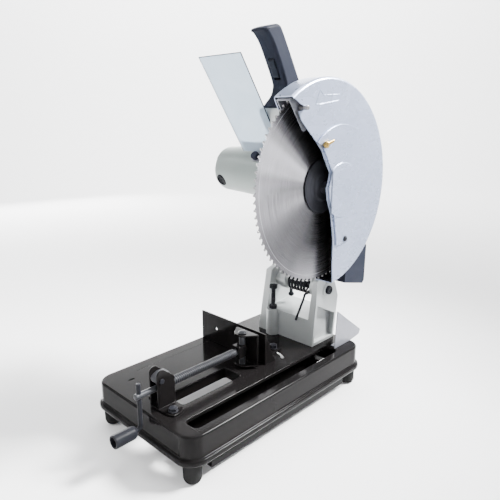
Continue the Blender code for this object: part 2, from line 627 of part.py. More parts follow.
def make_head_arm(material):
    """One casting: the pivot hubs, the arm, and the open gear case with its neck."""
    idler = idler_place()
    arbor = (ARBOR_Y, ARBOR_Z)
    case = [(36.0, HANDLE_FOOT - GAP), (42.0, 520.0), (56.0, 478.0)]
    case += arc(arbor, 52.0, 165.0, 300.0, 12)
    case += arc(idler, 42.0, -60.0, 50.0, 10)
    case += [(150.0, 520.0), (118.0, HANDLE_FOOT - GAP)]
    head_arm = make_object("head_arm", slab(case, *GEAR_CASE_X), "X", material, "head")
    beam = [stop_face(10.0), stop_face(215.0), (100.0, 440.0), (189.0, 437.0), (189.0, 400.0),
            (PIVOT_Y + 21.0, PIVOT_Z + 4.0)]
    combine(head_arm, "UNION", slab(beam, *ARM_X), "X")
    combine(head_arm, "UNION", slab(circle((PIVOT_Y, PIVOT_Z), 20.5, 28), *ARM_X), "X")
    left_trim = [(-60.0, 262.0), (ARM_X[0] - 0.2, 262.0), (GEAR_CASE_X[0], 376.0), (GEAR_CASE_X[0], 480.0),
                 (-60.0, 480.0)]
    combine(head_arm, "DIFFERENCE", slab(left_trim, 0.0, 300.0), "Y")
    spring_room = [(PIVOT_Y - 60.0, PIVOT_Z - 40.0), (PIVOT_Y + 60.0, PIVOT_Z - 40.0),
                   (PIVOT_Y + 60.0, PIVOT_Z + 21.0),
                   (PIVOT_Y + 24.0, PIVOT_Z + 44.0), (PIVOT_Y - 60.0, PIVOT_Z + 44.0)]
    combine(head_arm, "DIFFERENCE", slab(spring_room, -19.5, 46.5), "X")
    combine(head_arm, "DIFFERENCE", slab(circle((PIVOT_Y, PIVOT_Z), 8.0 + GAP, 24), -90.0, 90.0), "X")
    cavity = arc(arbor, 46.0, 150.0, 300.0, 12) + arc(idler, 37.0, -60.0, 100.0, 12) + [(113.0, 492.0),
                                                                                        (72.0, 476.0)]
    combine(head_arm, "DIFFERENCE", slab(cavity, GEAR_CASE_X[0] - 5.0, 59.0), "X")
    combine(head_arm, "UNION", slab(circle(arbor, 30.0, 32), 79.0, 93.6), "X")
    combine(head_arm, "DIFFERENCE", slab(circle(arbor, 19.0, 28), 58.0, 73.0), "X")
    combine(head_arm, "DIFFERENCE", slab(circle(arbor, ARBOR_RADIUS + 0.6, 28), 50.0, 110.0), "X")
    shield_room = [shield_point(-12.0, -3.0), shield_point(120.0, -3.0), (0.0, 560.0), (0.0, 470.0)]
    combine(head_arm, "DIFFERENCE", slab(shield_room, 0.0, SHIELD_X[1] + 1.0), "X")
    rear_pocket = [(150.0, 262.0), (192.0, 262.0), (178.0, 372.0), (120.0, 372.0)]
    combine(head_arm, "DIFFERENCE", slab(rear_pocket, 30.0, 70.0), "X")
    combine(head_arm, "DIFFERENCE", slab(circle(idler, 5.0 + GAP, 16), 58.0, 66.0), "X")
    combine(head_arm, "DIFFERENCE", slab(circle(RISE_STOP, 4.0 + GAP, 16), PIVOT_Z - 30.0, PIVOT_Z - 7.0),
            "Z")


def make_rise_stop(black):
    """The bolt under the left hub that limits how far the head lifts."""
    bolt = [(163.0, 0.0), (163.0, 3.0), (165.0, 6.5), (171.0, 6.5), (173.0, 4.0), (PIVOT_Z - 7.5, 4.0),
            (PIVOT_Z - 7.5, 0.0)]
    make_object("rise_stop_bolt", turned(bolt, RISE_STOP, 16), "Z", black, "head")


def make_gear_case_cover(material):
    """The plate between the gear case and the motor, with the front bearing's seat."""
    idler = idler_place()
    motor = (MOTOR_Y, MOTOR_Z)
    outline = arc(motor, 52.3, 60.0, 200.0, 14) + arc((ARBOR_Y, ARBOR_Z), 52.0, 200.0, 300.0, 10)
    outline += arc(idler, 42.0, -60.0, 50.0, 10)
    cover = make_object("gear_case_cover", slab(outline, MOTOR_RIGHT + GAP, GEAR_CASE_X[0] - GAP,
                                                [circle(motor, 15.0 + GAP, 28)]),
                        "X", material, "head")
    combine(cover, "DIFFERENCE", slab(circle(idler, 5.0 + GAP, 16), 15.0, 25.0), "X")


def make_motor(material, black, copper, steel):
    """Motor can, stator, brush caps and bearings."""
    axis = (MOTOR_Y, MOTOR_Z)
    end = MOTOR_END
    can = [(end, 0.0), (end, 37.0), (end + 1.6, 41.0), (end + 5.0, 43.6), (end + 10.0, 44.9), (-50.0, 49.0),
           (MOTOR_RIGHT - 10.0, 50.5), (MOTOR_RIGHT - 8.0, 52.5), (MOTOR_RIGHT, 52.5), (MOTOR_RIGHT, 44.0),
           (-50.0, 43.5), (end + 16.0, 41.0), (end + 16.0, 13.0 + GAP), (end + 5.0, 13.0 + GAP),
           (end + 5.0, 0.0)]
    motor = make_object("motor_housing", turned(can, axis, 40), "X", material, "head")
    brush_x = -119.5
    brush_angle = radians(BRUSH_ANGLE)
    for name, sign in (("brush_cap_front", 1.0), ("brush_cap_rear", -1.0)):
        turn = Matrix.Translation((brush_x, MOTOR_Y,
                                   MOTOR_Z)) @ Matrix.Rotation(brush_angle + (0.0 if sign > 0 else pi), 4,
                                                               "X")
        hole = slab(circle((0.0, 0.0), BRUSH_RADIUS + GAP, 20), 33.0, 60.0)
        hole.transform(turn)
        combine(motor, "DIFFERENCE", hole)
        cap = turned([(35.0, 0.0), (35.0, 5.0), (38.0, 5.0), (38.0, BRUSH_RADIUS), (44.8, BRUSH_RADIUS),
                      (46.0, BRUSH_RADIUS - 1.2), (46.0, 7.5), (43.0, 7.0), (43.0, 0.0)], (0.0, 0.0), 20)
        cap.transform(turn)
        make_object(name, cap, "Z", black, "head")
    stator = [(-92.0, 27.0), (-92.0, 40.5), (-38.0, 40.5), (-38.0, 27.0)]
    make_object("stator", turned(stator, axis, 32, ring=True), "X", copper, "head")
    rear = [(end + 6.0, 5.0 + GAP), (end + 6.0, 13.0), (end + 15.0, 13.0), (end + 15.0, 5.0 + GAP)]
    make_object("motor_bearing_rear", turned(rear, axis, 24, ring=True), "X", steel, "head")
    front = [(11.5, 6.0 + GAP), (11.5, 15.0), (19.5, 15.0), (19.5, 6.0 + GAP)]
    make_object("motor_bearing_front", turned(front, axis, 28, ring=True), "X", steel, "head")


def make_drive(steel, copper):
    """Armature with its pinion, the fan, the idler, and the output gear on the spindle."""
    motor = (MOTOR_Y, MOTOR_Z)
    arbor = (ARBOR_Y, ARBOR_Z)
    idler = idler_place()
    end = MOTOR_END
    to_idler = degrees(atan2(idler[1] - motor[1], idler[0] - motor[0]))
    first_module = 2.0 * FIRST_CENTRES / (MOTOR_PINION_TEETH + IDLER_GEAR_TEETH)
    second_module = 2.0 * SECOND_CENTRES / (IDLER_PINION_TEETH + OUTPUT_GEAR_TEETH)
    shaft = [(end + 6.0, 0.0), (end + 6.0, 5.0), (-118.0, 5.0), (-118.0, 15.0), (-105.0, 15.0),
             (-105.0, 7.0), (-92.0, 7.0),
             (-92.0, 26.0), (-38.0, 26.0), (-38.0, 6.0), (36.0, 6.0), (36.0, 0.0)]
    armature = make_object("armature", turned(shaft, motor, 28), "X", copper, "armature")
    pinion = gear_outline(MOTOR_PINION_TEETH, first_module, motor, to_idler, PINION_THINNING)
    combine(armature, "UNION", slab(pinion, 23.5, 35.0), "X")
    fan = [(-27.0, 6.0 + GAP), (-27.0, 12.0), (-12.0, 12.0), (-12.0, 38.0), (-10.0, 38.0), (-10.0, 6.0 + GAP)]
    fan_wheel = make_object("cooling_fan", turned(fan, motor, 24, ring=True), "X", copper, "armature")
    for blade in range(9):
        turn = Matrix.Translation((0.0, MOTOR_Y, MOTOR_Z)) @ Matrix.Rotation(2.0 * pi * blade / 9.0, 4, "X")
        vane = block((-25.0, 11.0, -0.8), (-11.0, 37.0, 0.8))
        vane.transform(turn)
        combine(fan_wheel, "UNION", vane)
    wheel = gear_outline(IDLER_GEAR_TEETH, first_module, idler, to_idler + 180.0 + 180.0 / IDLER_GEAR_TEETH)
    to_arbor = degrees(atan2(arbor[1] - idler[1], arbor[0] - idler[0]))
    idler_gear = make_object("idler_gear", slab(wheel, 24.0, 34.5), "X", steel, "idler")
    combine(idler_gear, "UNION", slab(circle(idler, 5.0, 16), 15.5, 65.5), "X")
    combine(idler_gear, "UNION", slab(gear_outline(IDLER_PINION_TEETH, second_module, idler, to_arbor),
                                      41.0, 55.0), "X")
    output = gear_outline(OUTPUT_GEAR_TEETH, second_module, arbor,
                          to_arbor + 180.0 + 180.0 / OUTPUT_GEAR_TEETH)
    make_object("output_gear", slab(output, 42.0, 54.0, [circle(arbor, ARBOR_RADIUS + GAP, 28)]), "X",
                steel, "arbor")
    spindle = [(38.5, 0.0), (38.5, ARBOR_RADIUS), (BLADE_X + 0.9, ARBOR_RADIUS), (BLADE_X + 0.9, 5.6),
               (78.0, 5.6), (78.0, 0.0)]
    make_object("spindle", turned(spindle, arbor, 28), "X", steel, "arbor")
    bearing = [(59.5, ARBOR_RADIUS + GAP), (59.5, 18.6), (72.5, 18.6), (72.5, ARBOR_RADIUS + GAP)]
    make_object("spindle_bearing", turned(bearing, arbor, 28, ring=True), "X", steel, "head")


def blade_outline():
    """Hooked teeth on a round plate."""
    points = []
    pitch = 360.0 / BLADE_TEETH
    centre = (ARBOR_Y, ARBOR_Z)
    for tooth in range(BLADE_TEETH):
        start = tooth * pitch
        for share, depth in ((0.0, 0.0), (0.06, TOOTH_DEPTH), (0.45, TOOTH_DEPTH * 0.95)):
            angle = radians(start + share * pitch)
            radius = BLADE_RADIUS - depth
            points.append((centre[0] + radius * cos(angle), centre[1] + radius * sin(angle)))
    return points


def make_blade(steel, black):
    """Blade, its two clamping flanges and the arbor bolt."""
    arbor = (ARBOR_Y, ARBOR_Z)
    half = BLADE_THICKNESS / 2.0
    blade = slab(blade_outline(), BLADE_X - half, BLADE_X + half, [circle(arbor, ARBOR_RADIUS + GAP, 28)])
    make_object("blade", blade, "X", steel, "arbor")
    left = BLADE_X - half - GAP
    inner = [(left - 5.5, ARBOR_RADIUS + GAP), (left - 5.5, 32.0), (left - 3.5, FLANGE_RADIUS - 3.0),
             (left, FLANGE_RADIUS),
             (left, FLANGE_RADIUS - 10.0), (left - 0.8, FLANGE_RADIUS - 11.0),
             (left - 0.8, ARBOR_RADIUS + GAP)]
    make_object("inner_flange", turned(inner, arbor, 36, ring=True), "X", black, "arbor")
    right = BLADE_X + half + GAP
    outer = [(right, FLANGE_RADIUS - 10.0), (right, FLANGE_RADIUS), (right + 2.0, FLANGE_RADIUS - 0.5),
             (right + 3.6, FLANGE_RADIUS - 4.0),
             (right + 3.6, 27.0), (right + 6.5, 24.5), (right + 6.5, 5.6), (right, 5.6)]
    make_object("outer_flange", turned(outer, arbor, 36, ring=True), "X", black, "arbor")
    seat = right + 6.5 + GAP
    bolt = slab(hexagon(arbor, 18.0), seat + 1.6, seat + 8.2)
    arbor_bolt = make_object("arbor_bolt", bolt, "X", black, "arbor")
    combine(arbor_bolt, "UNION", slab(circle(arbor, 12.0, 24), seat, seat + 2.0), "X")
    combine(arbor_bolt, "UNION", slab(circle(arbor, 5.2, 16), 80.0, seat + 1.0), "X")


# The upper guard's free edge on its right side, from the top to the bottom


def guard_outline(radius):
    rim = arc(GUARD_CENTRE, radius, GUARD_FRONT_ANGLE, GUARD_LOW_ANGLE, 56)
    return rim + GUARD_EDGE[::-1]


def make_upper_guard(material):
    """A two-walled shell with a closed rim; the blade and the lower guard run inside."""
    guard = make_object("upper_guard", slab(guard_outline(GUARD_RADIUS), *GUARD_X), "X", material, "head")
    inside = slab(circle(GUARD_CENTRE, GUARD_RADIUS - GUARD_SHEET, 72), GUARD_X[0] + GUARD_SHEET,
                  GUARD_X[1] - GUARD_SHEET)
    combine(guard, "DIFFERENCE", inside, "X")
    boss_room = [(60.0, ARBOR_Z + 34.0), (60.0, ARBOR_Z - 34.0)]
    boss_room += arc(GUARD_CENTRE, 34.0, -90.0, 90.0, 14)
    combine(guard, "DIFFERENCE", slab(boss_room, GUARD_X[0] - 5.0, GUARD_X[0] + 6.0), "X")
    notch = [(0.0, 552.0), (22.0, 560.0)] + arc(PIN_PLACE, 4.6, -60.0, 120.0, 6) + [(8.0, 580.0)]
    combine(guard, "DIFFERENCE", slab(notch, GUARD_X[1] - 6.0, GUARD_X[1] + 6.0), "X")


def make_lower_guard(material, chrome):
    """A channel that turns about the spindle boss; its right wall is a narrow band."""
    start, end = SHROUD_ANGLES
    rim = arc(GUARD_CENTRE, SHROUD_RADIUS, start, end, 36)
    wall = rim + arc(GUARD_CENTRE, 40.0, end, start, 12)
    shroud = make_object("lower_guard", slab(wall, *SHROUD_X), "X", material, "lower_guard")
    inner_room = slab(circle(GUARD_CENTRE, SHROUD_RADIUS - SHROUD_SHEET, 72), SHROUD_X[0] + 2.0,
                      SHROUD_X[1] - 2.0)
    combine(shroud, "DIFFERENCE", inner_room, "X")
    right_room = arc(GUARD_CENTRE, SHROUD_INNER, FINGER_ANGLE - 3.4, FINGER_ANGLE + 60.0, 8)
    right_room += [(GUARD_CENTRE[0], GUARD_CENTRE[1] - 60.0)]
    right_room += arc(GUARD_CENTRE, SHROUD_BAND, start - 3.0, FINGER_ANGLE - 3.4, 24)
    combine(shroud, "DIFFERENCE", slab(right_room, SHROUD_X[1] - 5.0, SHROUD_X[1] + 5.0), "X")
    finger_end = arc(GUARD_CENTRE, SHROUD_INNER, FINGER_ANGLE, FINGER_ANGLE, 1)[0]
    combine(shroud, "UNION", slab(circle(finger_end, 7.4, 20), SHROUD_X[1] - 2.0, SHROUD_X[1]), "X")
    combine(shroud, "UNION", slab(circle(GUARD_CENTRE, 44.0, 36), SHROUD_X[0], SHROUD_X[0] + 2.0, []), "X")
    combine(shroud, "DIFFERENCE", slab(circle(GUARD_CENTRE, 30.7, 32), SHROUD_X[0] - 5.0,
                                       SHROUD_X[0] + 6.0), "X")
    pin = [(SHROUD_X[1] + GAP, 0.0), (SHROUD_X[1] + GAP, 3.9), (133.0, 3.9), (134.5, 3.2), (134.5, 0.0)]
    make_object("guard_pin", turned(pin, PIN_PLACE, 16), "X", chrome, "lower_guard")


def make_guard_cover(material, brass, black):
    """The raised arbor cover: it swings on its lower screw once the wing screw is loose."""
    low = GUARD_X[1] + GAP
    edge = [(136.5, 330.0), (125.5, 380.0), (111.0, 408.5), (106.5, 428.0), (111.0, 440.0),
            (115.0, 457.0), (108.0, 467.0), (87.5, 499.0)]
    outline = arc(COVER_CENTRE, COVER_RADIUS, 133.0, -94.0, 40) + edge
    cover = make_object("guard_cover", slab(outline, low, low + 3.0), "X", material, "cover")
    boss = [point for point in circle((147.0, 421.0), 50.0, 40)]
    boss_trim = [(max(y, 114.5), z) for y, z in boss]
    combine(cover, "UNION", slab(boss_trim, low + 1.0, low + 4.6), "X")
    lean = radians(22.5)
    slot = []
    for along, across in ((0.0, -4.0), (30.0, -4.0), (30.0, 4.0), (0.0, 4.0)):
        slot.append((WING_SCREW[0] - along * cos(lean) + across * sin(lean),
                     WING_SCREW[1] - along * sin(lean) - across * cos(lean)))
    combine(cover, "DIFFERENCE", slab(slot, low - 3.0, low + 9.0), "X")
    combine(cover, "DIFFERENCE", slab(circle(WING_SCREW, 4.0, 16), low - 3.0, low + 9.0), "X")
    combine(cover, "DIFFERENCE", slab(circle(COVER_SCREW, 2.6 + GAP, 12), low - 3.0, low + 9.0), "X")
    top = low + 3.0 + GAP
    screw = [(low, 0.0), (low, 2.6), (top, 2.6), (top, 5.5), (top + 2.0, 5.2), (top + 3.0, 3.8),
             (top + 3.0, 0.0)]
    make_object("cover_screw", turned(screw, COVER_SCREW, 16), "X", black, "head")
    wing = slab(hexagon(WING_SCREW, 11.0), top, top + 5.0)
    wing_screw = make_object("wing_screw", wing, "X", brass, "head")
    combine(wing_screw, "UNION", slab(circle(WING_SCREW, 3.2, 12), low, top + 1.0), "X")
    tab = [(WING_SCREW[0] - 2.0, WING_SCREW[1] - 2.5), (WING_SCREW[0] + 17.0, WING_SCREW[1] + 4.0),
           (WING_SCREW[0] + 18.0, WING_SCREW[1] + 8.5), (WING_SCREW[0] - 2.0, WING_SCREW[1] + 3.5)]
    combine(wing_screw, "UNION", slab(tab, top + 3.5, top + 6.5), "X")


def make_rear_chute(material):
    """The chip outlet behind the guard's rim, open at its rear end."""
    rim = arc(GUARD_CENTRE, GUARD_RADIUS + GAP, -62.0, -42.0, 8)
    outline = rim + [(269.5, 297.0), (275.5, 290.0), (274.0, 214.0), (268.0, 207.5), (200.0, 224.0)]
    chute = make_object("rear_chute", slab(outline, *CHUTE_X), "X", material, "head")
    room = arc(GUARD_CENTRE, GUARD_RADIUS + 3.0, -58.0, -46.0, 6)
    room += [(268.0, 291.0), (272.5, 287.0), (271.0, 216.0), (300.0, 190.0), (240.0, 180.0), (214.0, 223.0)]
    combine(chute, "DIFFERENCE", slab(room, CHUTE_X[0] + 2.5, CHUTE_X[1] - 2.5), "X")


# ---------------------------------------------------------------- handle, switch and shield


def grip(along, depth):
    """A point of the grip: distance down its front face, and depth behind that face."""
    lean = radians(GRIP_LEAN)
    return (GRIP_TOP_Y + along * sin(lean) + depth * cos(lean),
            GRIP_TOP_Z - along * cos(lean) + depth * sin(lean))


def make_handle(material, trigger_material, button_material):
    """Two moulded shells with a trigger, a lock button and the switch between them."""
    outline = [grip(-11.5, -7.0), grip(-8.0, -9.0), grip(-3.0, -5.5), grip(8.0, -2.0), grip(20.0, -0.5),
               grip(45.0, -1.0),
               grip(88.0, -3.0), grip(96.0, -8.0), grip(103.0, -17.0), (46.0, 579.0), (36.0, 570.5),
               (34.0, HANDLE_FOOT),
               (120.0, HANDLE_FOOT), (119.0, 582.0), grip(112.0, GRIP_DEPTH - 1.0),
               grip(60.0, GRIP_DEPTH), grip(8.0, GRIP_DEPTH),
               grip(2.0, GRIP_DEPTH - 3.0), grip(-2.5, GRIP_DEPTH - 9.0)]
    middle = sum(HANDLE_X) / 2.0
    split = ((HANDLE_X[0], middle - GAP / 2.0, "handle_left"),
             (middle + GAP / 2.0, HANDLE_X[1], "handle_right"))
    trigger_room = [grip(44.0, -12.0), grip(44.0, 16.0), grip(83.0, 16.0), grip(83.0, -12.0)]
    switch_room = [grip(20.0, 9.0), grip(20.0, 28.0), grip(112.0, 28.0), grip(112.0, 9.0)]
    lock_place = grip(36.0, 12.0)
    for low, high, name in split:
        half = make_object(name, slab(outline, low, high), "X", material, "head")
        combine(half, "DIFFERENCE", slab(trigger_room, middle - 7.0, middle + 7.0), "X")
        combine(half, "DIFFERENCE", slab(switch_room, middle - 12.5, middle + 12.5), "X")
        combine(half, "DIFFERENCE", slab(circle(lock_place, 5.0 + GAP, 16), HANDLE_X[0] - 5.0, middle), "X")
    switch = [grip(22.0, 18.5), grip(22.0, 27.0), grip(84.0, 27.0), grip(84.0, 18.5)]
    make_object("switch_block", slab(switch, middle - 11.0, middle + 11.0), "X", button_material, "head")
    trigger = [grip(46.0, 5.0), grip(46.0, -1.5), grip(49.0, -4.6), grip(56.0, -4.8), grip(64.0, -3.4),
               grip(72.0, -5.2),
               grip(77.5, -4.8), grip(79.0, -2.0), grip(76.0, 6.5), grip(60.0, 8.0), grip(50.0, 8.0)]
    make_object("trigger", slab(trigger, middle - 6.2, middle + 6.2), "X", trigger_material, "trigger")
    button = [(HANDLE_X[0] - 4.0, 0.0), (HANDLE_X[0] - 4.0, 4.2), (HANDLE_X[0] - 3.4, 5.0),
              (HANDLE_X[0] + 7.0, 5.0), (HANDLE_X[0] + 7.0, 0.0)]
    make_object("lock_button", turned(button, lock_place, 16), "X", button_material, "lock_button")


def shield_point(up, out):
    """A point of the shield: distance up the plate, and distance in front of it."""
    lean = radians(SHIELD_LEAN)
    return (SHIELD_FOOT_Y - up * sin(lean) - out * cos(lean),
            SHIELD_FOOT_Z + up * cos(lean) - out * sin(lean))


def make_shield(clear, steel, black):
    """A clear plate, the folded bracket behind its foot and the clamp knob."""
    left, right = SHIELD_X
    plate = [shield_point(0.0, 0.0), shield_point(SHIELD_HEIGHT, 0.0),
             shield_point(SHIELD_HEIGHT, SHIELD_THICKNESS), shield_point(0.0, SHIELD_THICKNESS)]
    make_object("shield", slab(plate, left, right), "X", clear, "head")
    motor = (MOTOR_Y, MOTOR_Z)
    strip = [shield_point(20.0, -GAP), shield_point(20.0, -GAP - 2.0), shield_point(-1.0, -GAP - 2.0),
             shield_point(-1.0, -GAP)]
    bracket = make_object("shield_bracket", slab(strip, left + 4.0, right - 8.0), "X", steel, "head")
    tab = arc(motor, 53.3, 126.0, KNOB_ANGLE + 8.0, 6) + arc(motor, 50.9, KNOB_ANGLE + 8.0, 126.0, 6)
    combine(bracket, "UNION", slab(tab, SHIELD_KNOB_X - 10.0, SHIELD_KNOB_X + 10.0), "X")
    knob = turned([(53.6, 0.0), (53.6, 5.0), (55.5, 8.0), (63.0, 8.0), (64.5, 6.8), (64.5, 0.0)],
                  (0.0, 0.0), 16)
    knob.transform(Matrix.Translation((SHIELD_KNOB_X,
                                       *motor)) @ Matrix.Rotation(radians(KNOB_ANGLE - 90.0), 4, "X"))
    make_object("shield_knob", knob, "Z", black, "shield_knob")


# ---------------------------------------------------------------- assembly

def build():
    for old in list(bpy.data.objects):
        bpy.data.objects.remove(old, do_unlink=True)
    gloss_black = make_material("gloss_black_paint", (0.018, 0.018, 0.02), 0.22)
    silver = make_material("silver_paint", (0.56, 0.58, 0.6), 0.42, 0.35)
    guard_paint = make_material("guard_paint", (0.62, 0.65, 0.74), 0.38, 0.3)
    motor_paint = make_material("motor_paint", (0.46, 0.5, 0.49), 0.42, 0.2)
    rubber = make_material("rubber", (0.03, 0.03, 0.03), 0.8)
    black_steel = make_material("black_steel", (0.03, 0.03, 0.035), 0.4, 0.8)
    bare_steel = make_material("bare_steel", (0.5, 0.5, 0.5), 0.35, 1.0)
    blade_steel = make_material("blade_steel", (0.6, 0.6, 0.62), 0.28, 1.0)
    brass = make_material("brass", (0.65, 0.48, 0.16), 0.3, 1.0)
    copper = make_material("copper", (0.5, 0.25, 0.12), 0.4, 1.0)
    grip_plastic = make_material("grip_plastic", (0.045, 0.048, 0.06), 0.5)
    trigger_plastic = make_material("trigger_plastic", (0.06, 0.065, 0.075), 0.45)
    clear_plastic = make_material("clear_plastic", (0.62, 0.72, 0.86), 0.1, 0.0, 0.45)
    zinc = make_material("zinc_sheet", (0.6, 0.61, 0.66), 0.35, 0.6)

    make_body("tray", (TRAY_X[1], 0.0, TRAY_Z[0]))
    make_body("fence", (*FENCE_PIVOT, BASE_TOP))
    make_body("half_nut", (VISE_X, NUT_PIN_Y, NUT_PIN_Z))
    make_body("carriage", (VISE_X, JAW_PIN_Y, VISE_Z))
    make_body("jaw", (VISE_X, JAW_PIN_Y, VISE_Z), "carriage")
    make_body("crank", (VISE_X, CRANK_Y, VISE_Z), "carriage")
    make_body("knob", (VISE_X, KNOB_END, KNOB_Z), "crank")
    make_body("head", (0.0, PIVOT_Y, PIVOT_Z))
    make_body("arbor", (BLADE_X, ARBOR_Y, ARBOR_Z), "head")
    make_body("armature", (0.0, MOTOR_Y, MOTOR_Z), "head")
    make_body("idler", (40.0, *idler_place()), "head")
    make_body("lower_guard", (SHROUD_X[0], ARBOR_Y, ARBOR_Z), "head")
    make_body("cover", (GUARD_X[1], *COVER_SCREW), "head")
    make_body("trigger", (sum(HANDLE_X) / 2.0, *grip(47.0, 5.0)), "head")
    make_body("lock_button", (HANDLE_X[0], *grip(36.0, 12.0)), "head")
    make_body("shield_knob", (SHIELD_KNOB_X, MOTOR_Y, MOTOR_Z), "head")

    make_base_pan(gloss_black)
    make_feet(rubber)
    make_chip_tray(gloss_black)
    make_stand(silver)
    make_pivot(black_steel)
    make_stop(black_steel)
    make_torsion_spring(black_steel)
    make_deflector(zinc)
    make_fence(gloss_black, black_steel)
    make_vise_bracket(gloss_black, black_steel)
    make_half_nut(silver)
    make_vise_screw(bare_steel, black_steel)
    make_jaw(gloss_black, bare_steel)
    make_head_arm(silver)
    make_rise_stop(black_steel)
    make_gear_case_cover(silver)
    make_motor(motor_paint, black_steel, copper, bare_steel)
    make_drive(bare_steel, copper)
    make_blade(blade_steel, black_steel)
    make_upper_guard(guard_paint)
    make_lower_guard(zinc, bare_steel)
    make_guard_cover(guard_paint, brass, black_steel)
    make_rear_chute(grip_plastic)
    make_handle(grip_plastic, trigger_plastic, grip_plastic)
    make_shield(clear_plastic, zinc, grip_plastic)


build()
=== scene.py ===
"""Looks of the bench-top metal chop saw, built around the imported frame.

Lengths are millimetres in the frame's axes and are stored in metres (see MM).
"""
import json
from math import cos, hypot, pi, radians, sin

import bmesh
import bpy
from mathutils import Matrix, Vector
from mathutils.bvhtree import BVHTree
from mathutils.geometry import tessellate_polygon

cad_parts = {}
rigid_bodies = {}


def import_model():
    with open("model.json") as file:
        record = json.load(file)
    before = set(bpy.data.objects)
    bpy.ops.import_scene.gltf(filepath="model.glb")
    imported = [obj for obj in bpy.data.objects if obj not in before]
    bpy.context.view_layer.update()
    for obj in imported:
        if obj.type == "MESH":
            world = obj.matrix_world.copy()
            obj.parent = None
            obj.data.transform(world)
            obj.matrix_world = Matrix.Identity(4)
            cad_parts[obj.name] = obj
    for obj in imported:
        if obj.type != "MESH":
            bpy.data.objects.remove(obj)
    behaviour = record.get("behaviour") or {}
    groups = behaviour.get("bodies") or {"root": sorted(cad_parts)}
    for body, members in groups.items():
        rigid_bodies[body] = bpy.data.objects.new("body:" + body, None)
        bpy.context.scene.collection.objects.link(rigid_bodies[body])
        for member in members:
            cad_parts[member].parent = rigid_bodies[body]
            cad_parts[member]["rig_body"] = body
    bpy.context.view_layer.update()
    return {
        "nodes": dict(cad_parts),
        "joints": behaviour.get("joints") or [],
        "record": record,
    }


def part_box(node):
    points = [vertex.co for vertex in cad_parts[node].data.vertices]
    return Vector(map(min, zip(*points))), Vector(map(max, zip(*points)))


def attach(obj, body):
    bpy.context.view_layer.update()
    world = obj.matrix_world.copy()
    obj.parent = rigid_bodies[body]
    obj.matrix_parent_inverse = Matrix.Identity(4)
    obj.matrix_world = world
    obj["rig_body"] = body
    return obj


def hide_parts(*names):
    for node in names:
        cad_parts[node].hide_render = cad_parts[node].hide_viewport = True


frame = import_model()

MM = 0.001
JOINTS = {joint["name"]: joint for joint in frame["joints"]}


def joint_place(name):
    """A joint's place in millimetres."""
    return tuple(value / MM for value in JOINTS[name]["pos_m"])


def box(node):
    """Lowest and highest corner of a CAD node in millimetres."""
    low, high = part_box(node)
    return Vector(low) / MM, Vector(high) / MM


def footprint(low, high):
    """The middle of a box, seen from above."""
    return (low.x + high.x) / 2.0, (low.y + high.y) / 2.0


ARBOR = joint_place("blade_spin")[1:]
BLADE_X = joint_place("blade_spin")[0]
MOTOR = joint_place("armature_spin")[1:]
PIVOT = joint_place("head_pivot")[1:]
FENCE_PIVOT = joint_place("fence_swivel")[:2]
SCREW_X, CRANK_Y, SCREW_Z = joint_place("crank_spin")
JAW_PIN = joint_place("jaw_swivel")[:2]
COVER_SCREW = joint_place("cover_swing")[1:]
KNOB_Z = joint_place("knob_spin")[2]
BASE_TOP = box("base_pan")[1].z
WING_SCREW = (90.0, 505.0)

# Base pan: half size and corner of its outline, its openings, and the scribed line
PAN_HALF_X, PAN_HALF_Y, PAN_CORNER = 135.0, 234.5, 29.0
PAN_SHEET = 3.0
BLADE_SLOT = (86.5, 117.0, -206.0, 174.5)
VISE_OPENING = (5.0, 48.0, -176.0, -40.0)
MITRE_RADIUS = 45.5
LINE_X = -106.5

# Guard: where its rim starts and ends, the notch of the silver pin, and the arbor cover
GUARD_ANGLES = (125.2, -83.6)
PIN_NOTCH = (29.5, 565.5)
COVER_CENTRE, COVER_RADIUS = (145.0, 428.0), 111.0
COVER_BOSS, COVER_BOSS_RADIUS = (147.0, 421.0), 50.0

# Blade
BLADE_TEETH = 90
MARK_RADIUS = 165.5

# Grip: the top of its front face and its lean
GRIP_TOP = (15.8, 684.7)
GRIP_LEAN = 31.75

# Camera: place in metres, tilt below level, turn from +Y and focal length
CAMERA_PLACE = (0.6482, -0.6379, 0.55116)
CAMERA_TILT, CAMERA_TURN, CAMERA_LENS = 14.77, 43.97, 36.36

SLOTS = {part["node"]: part["material_slot"] for part in frame["record"]["subparts"]}


# ---------------------------------------------------------------- shapes

def arc(centre, radius, start, end, steps):
    """Points on an arc, with angles in degrees and both ends included."""
    points = []
    for step in range(steps + 1):
        angle = radians(start + (end - start) * step / steps)
        points.append((centre[0] + radius * cos(angle), centre[1] + radius * sin(angle)))
    return points


def circle(centre, radius, steps=48):
    return arc(centre, radius, 0.0, 360.0, steps)[:-1]


def rectangle(low_u, high_u, low_v, high_v):
    return [(low_u, low_v), (high_u, low_v), (high_u, high_v), (low_u, high_v)]


def rounded_rectangle(low_u, high_u, low_v, high_v, radius, steps=6):
    """A rectangle with round corners, counterclockwise."""
    points = []
    corners = ((high_u - radius, high_v - radius, 0.0), (low_u + radius, high_v - radius, 90.0),
               (low_u + radius, low_v + radius, 180.0), (high_u - radius, low_v + radius, 270.0))
    for centre_u, centre_v, start in corners:
        points += arc((centre_u, centre_v), radius, start, start + 90.0, steps)
    return points


def link_rings(bm, first, second):
    """Faces between two loops; a loop of one vertex makes a fan."""
    count = max(len(first), len(second))
    for index in range(count):
        following = (index + 1) % count
        corners = [first[index % len(first)], first[following % len(first)],
                   second[following % len(second)], second[index % len(second)]]
        corners = list(dict.fromkeys(corners))
        if len(corners) > 2:
            bm.faces.new(corners)


def fill_outline(bm, loops):
    """Close a flat outline, with any holes given as further loops."""
    if len(loops) == 1:
        bm.faces.new(loops[0])
        return
    vertices = [vertex for loop in loops for vertex in loop]
    for triangle in tessellate_polygon([[vertex.co for vertex in loop] for loop in loops]):
        bm.faces.new([vertices[index] for index in triangle])


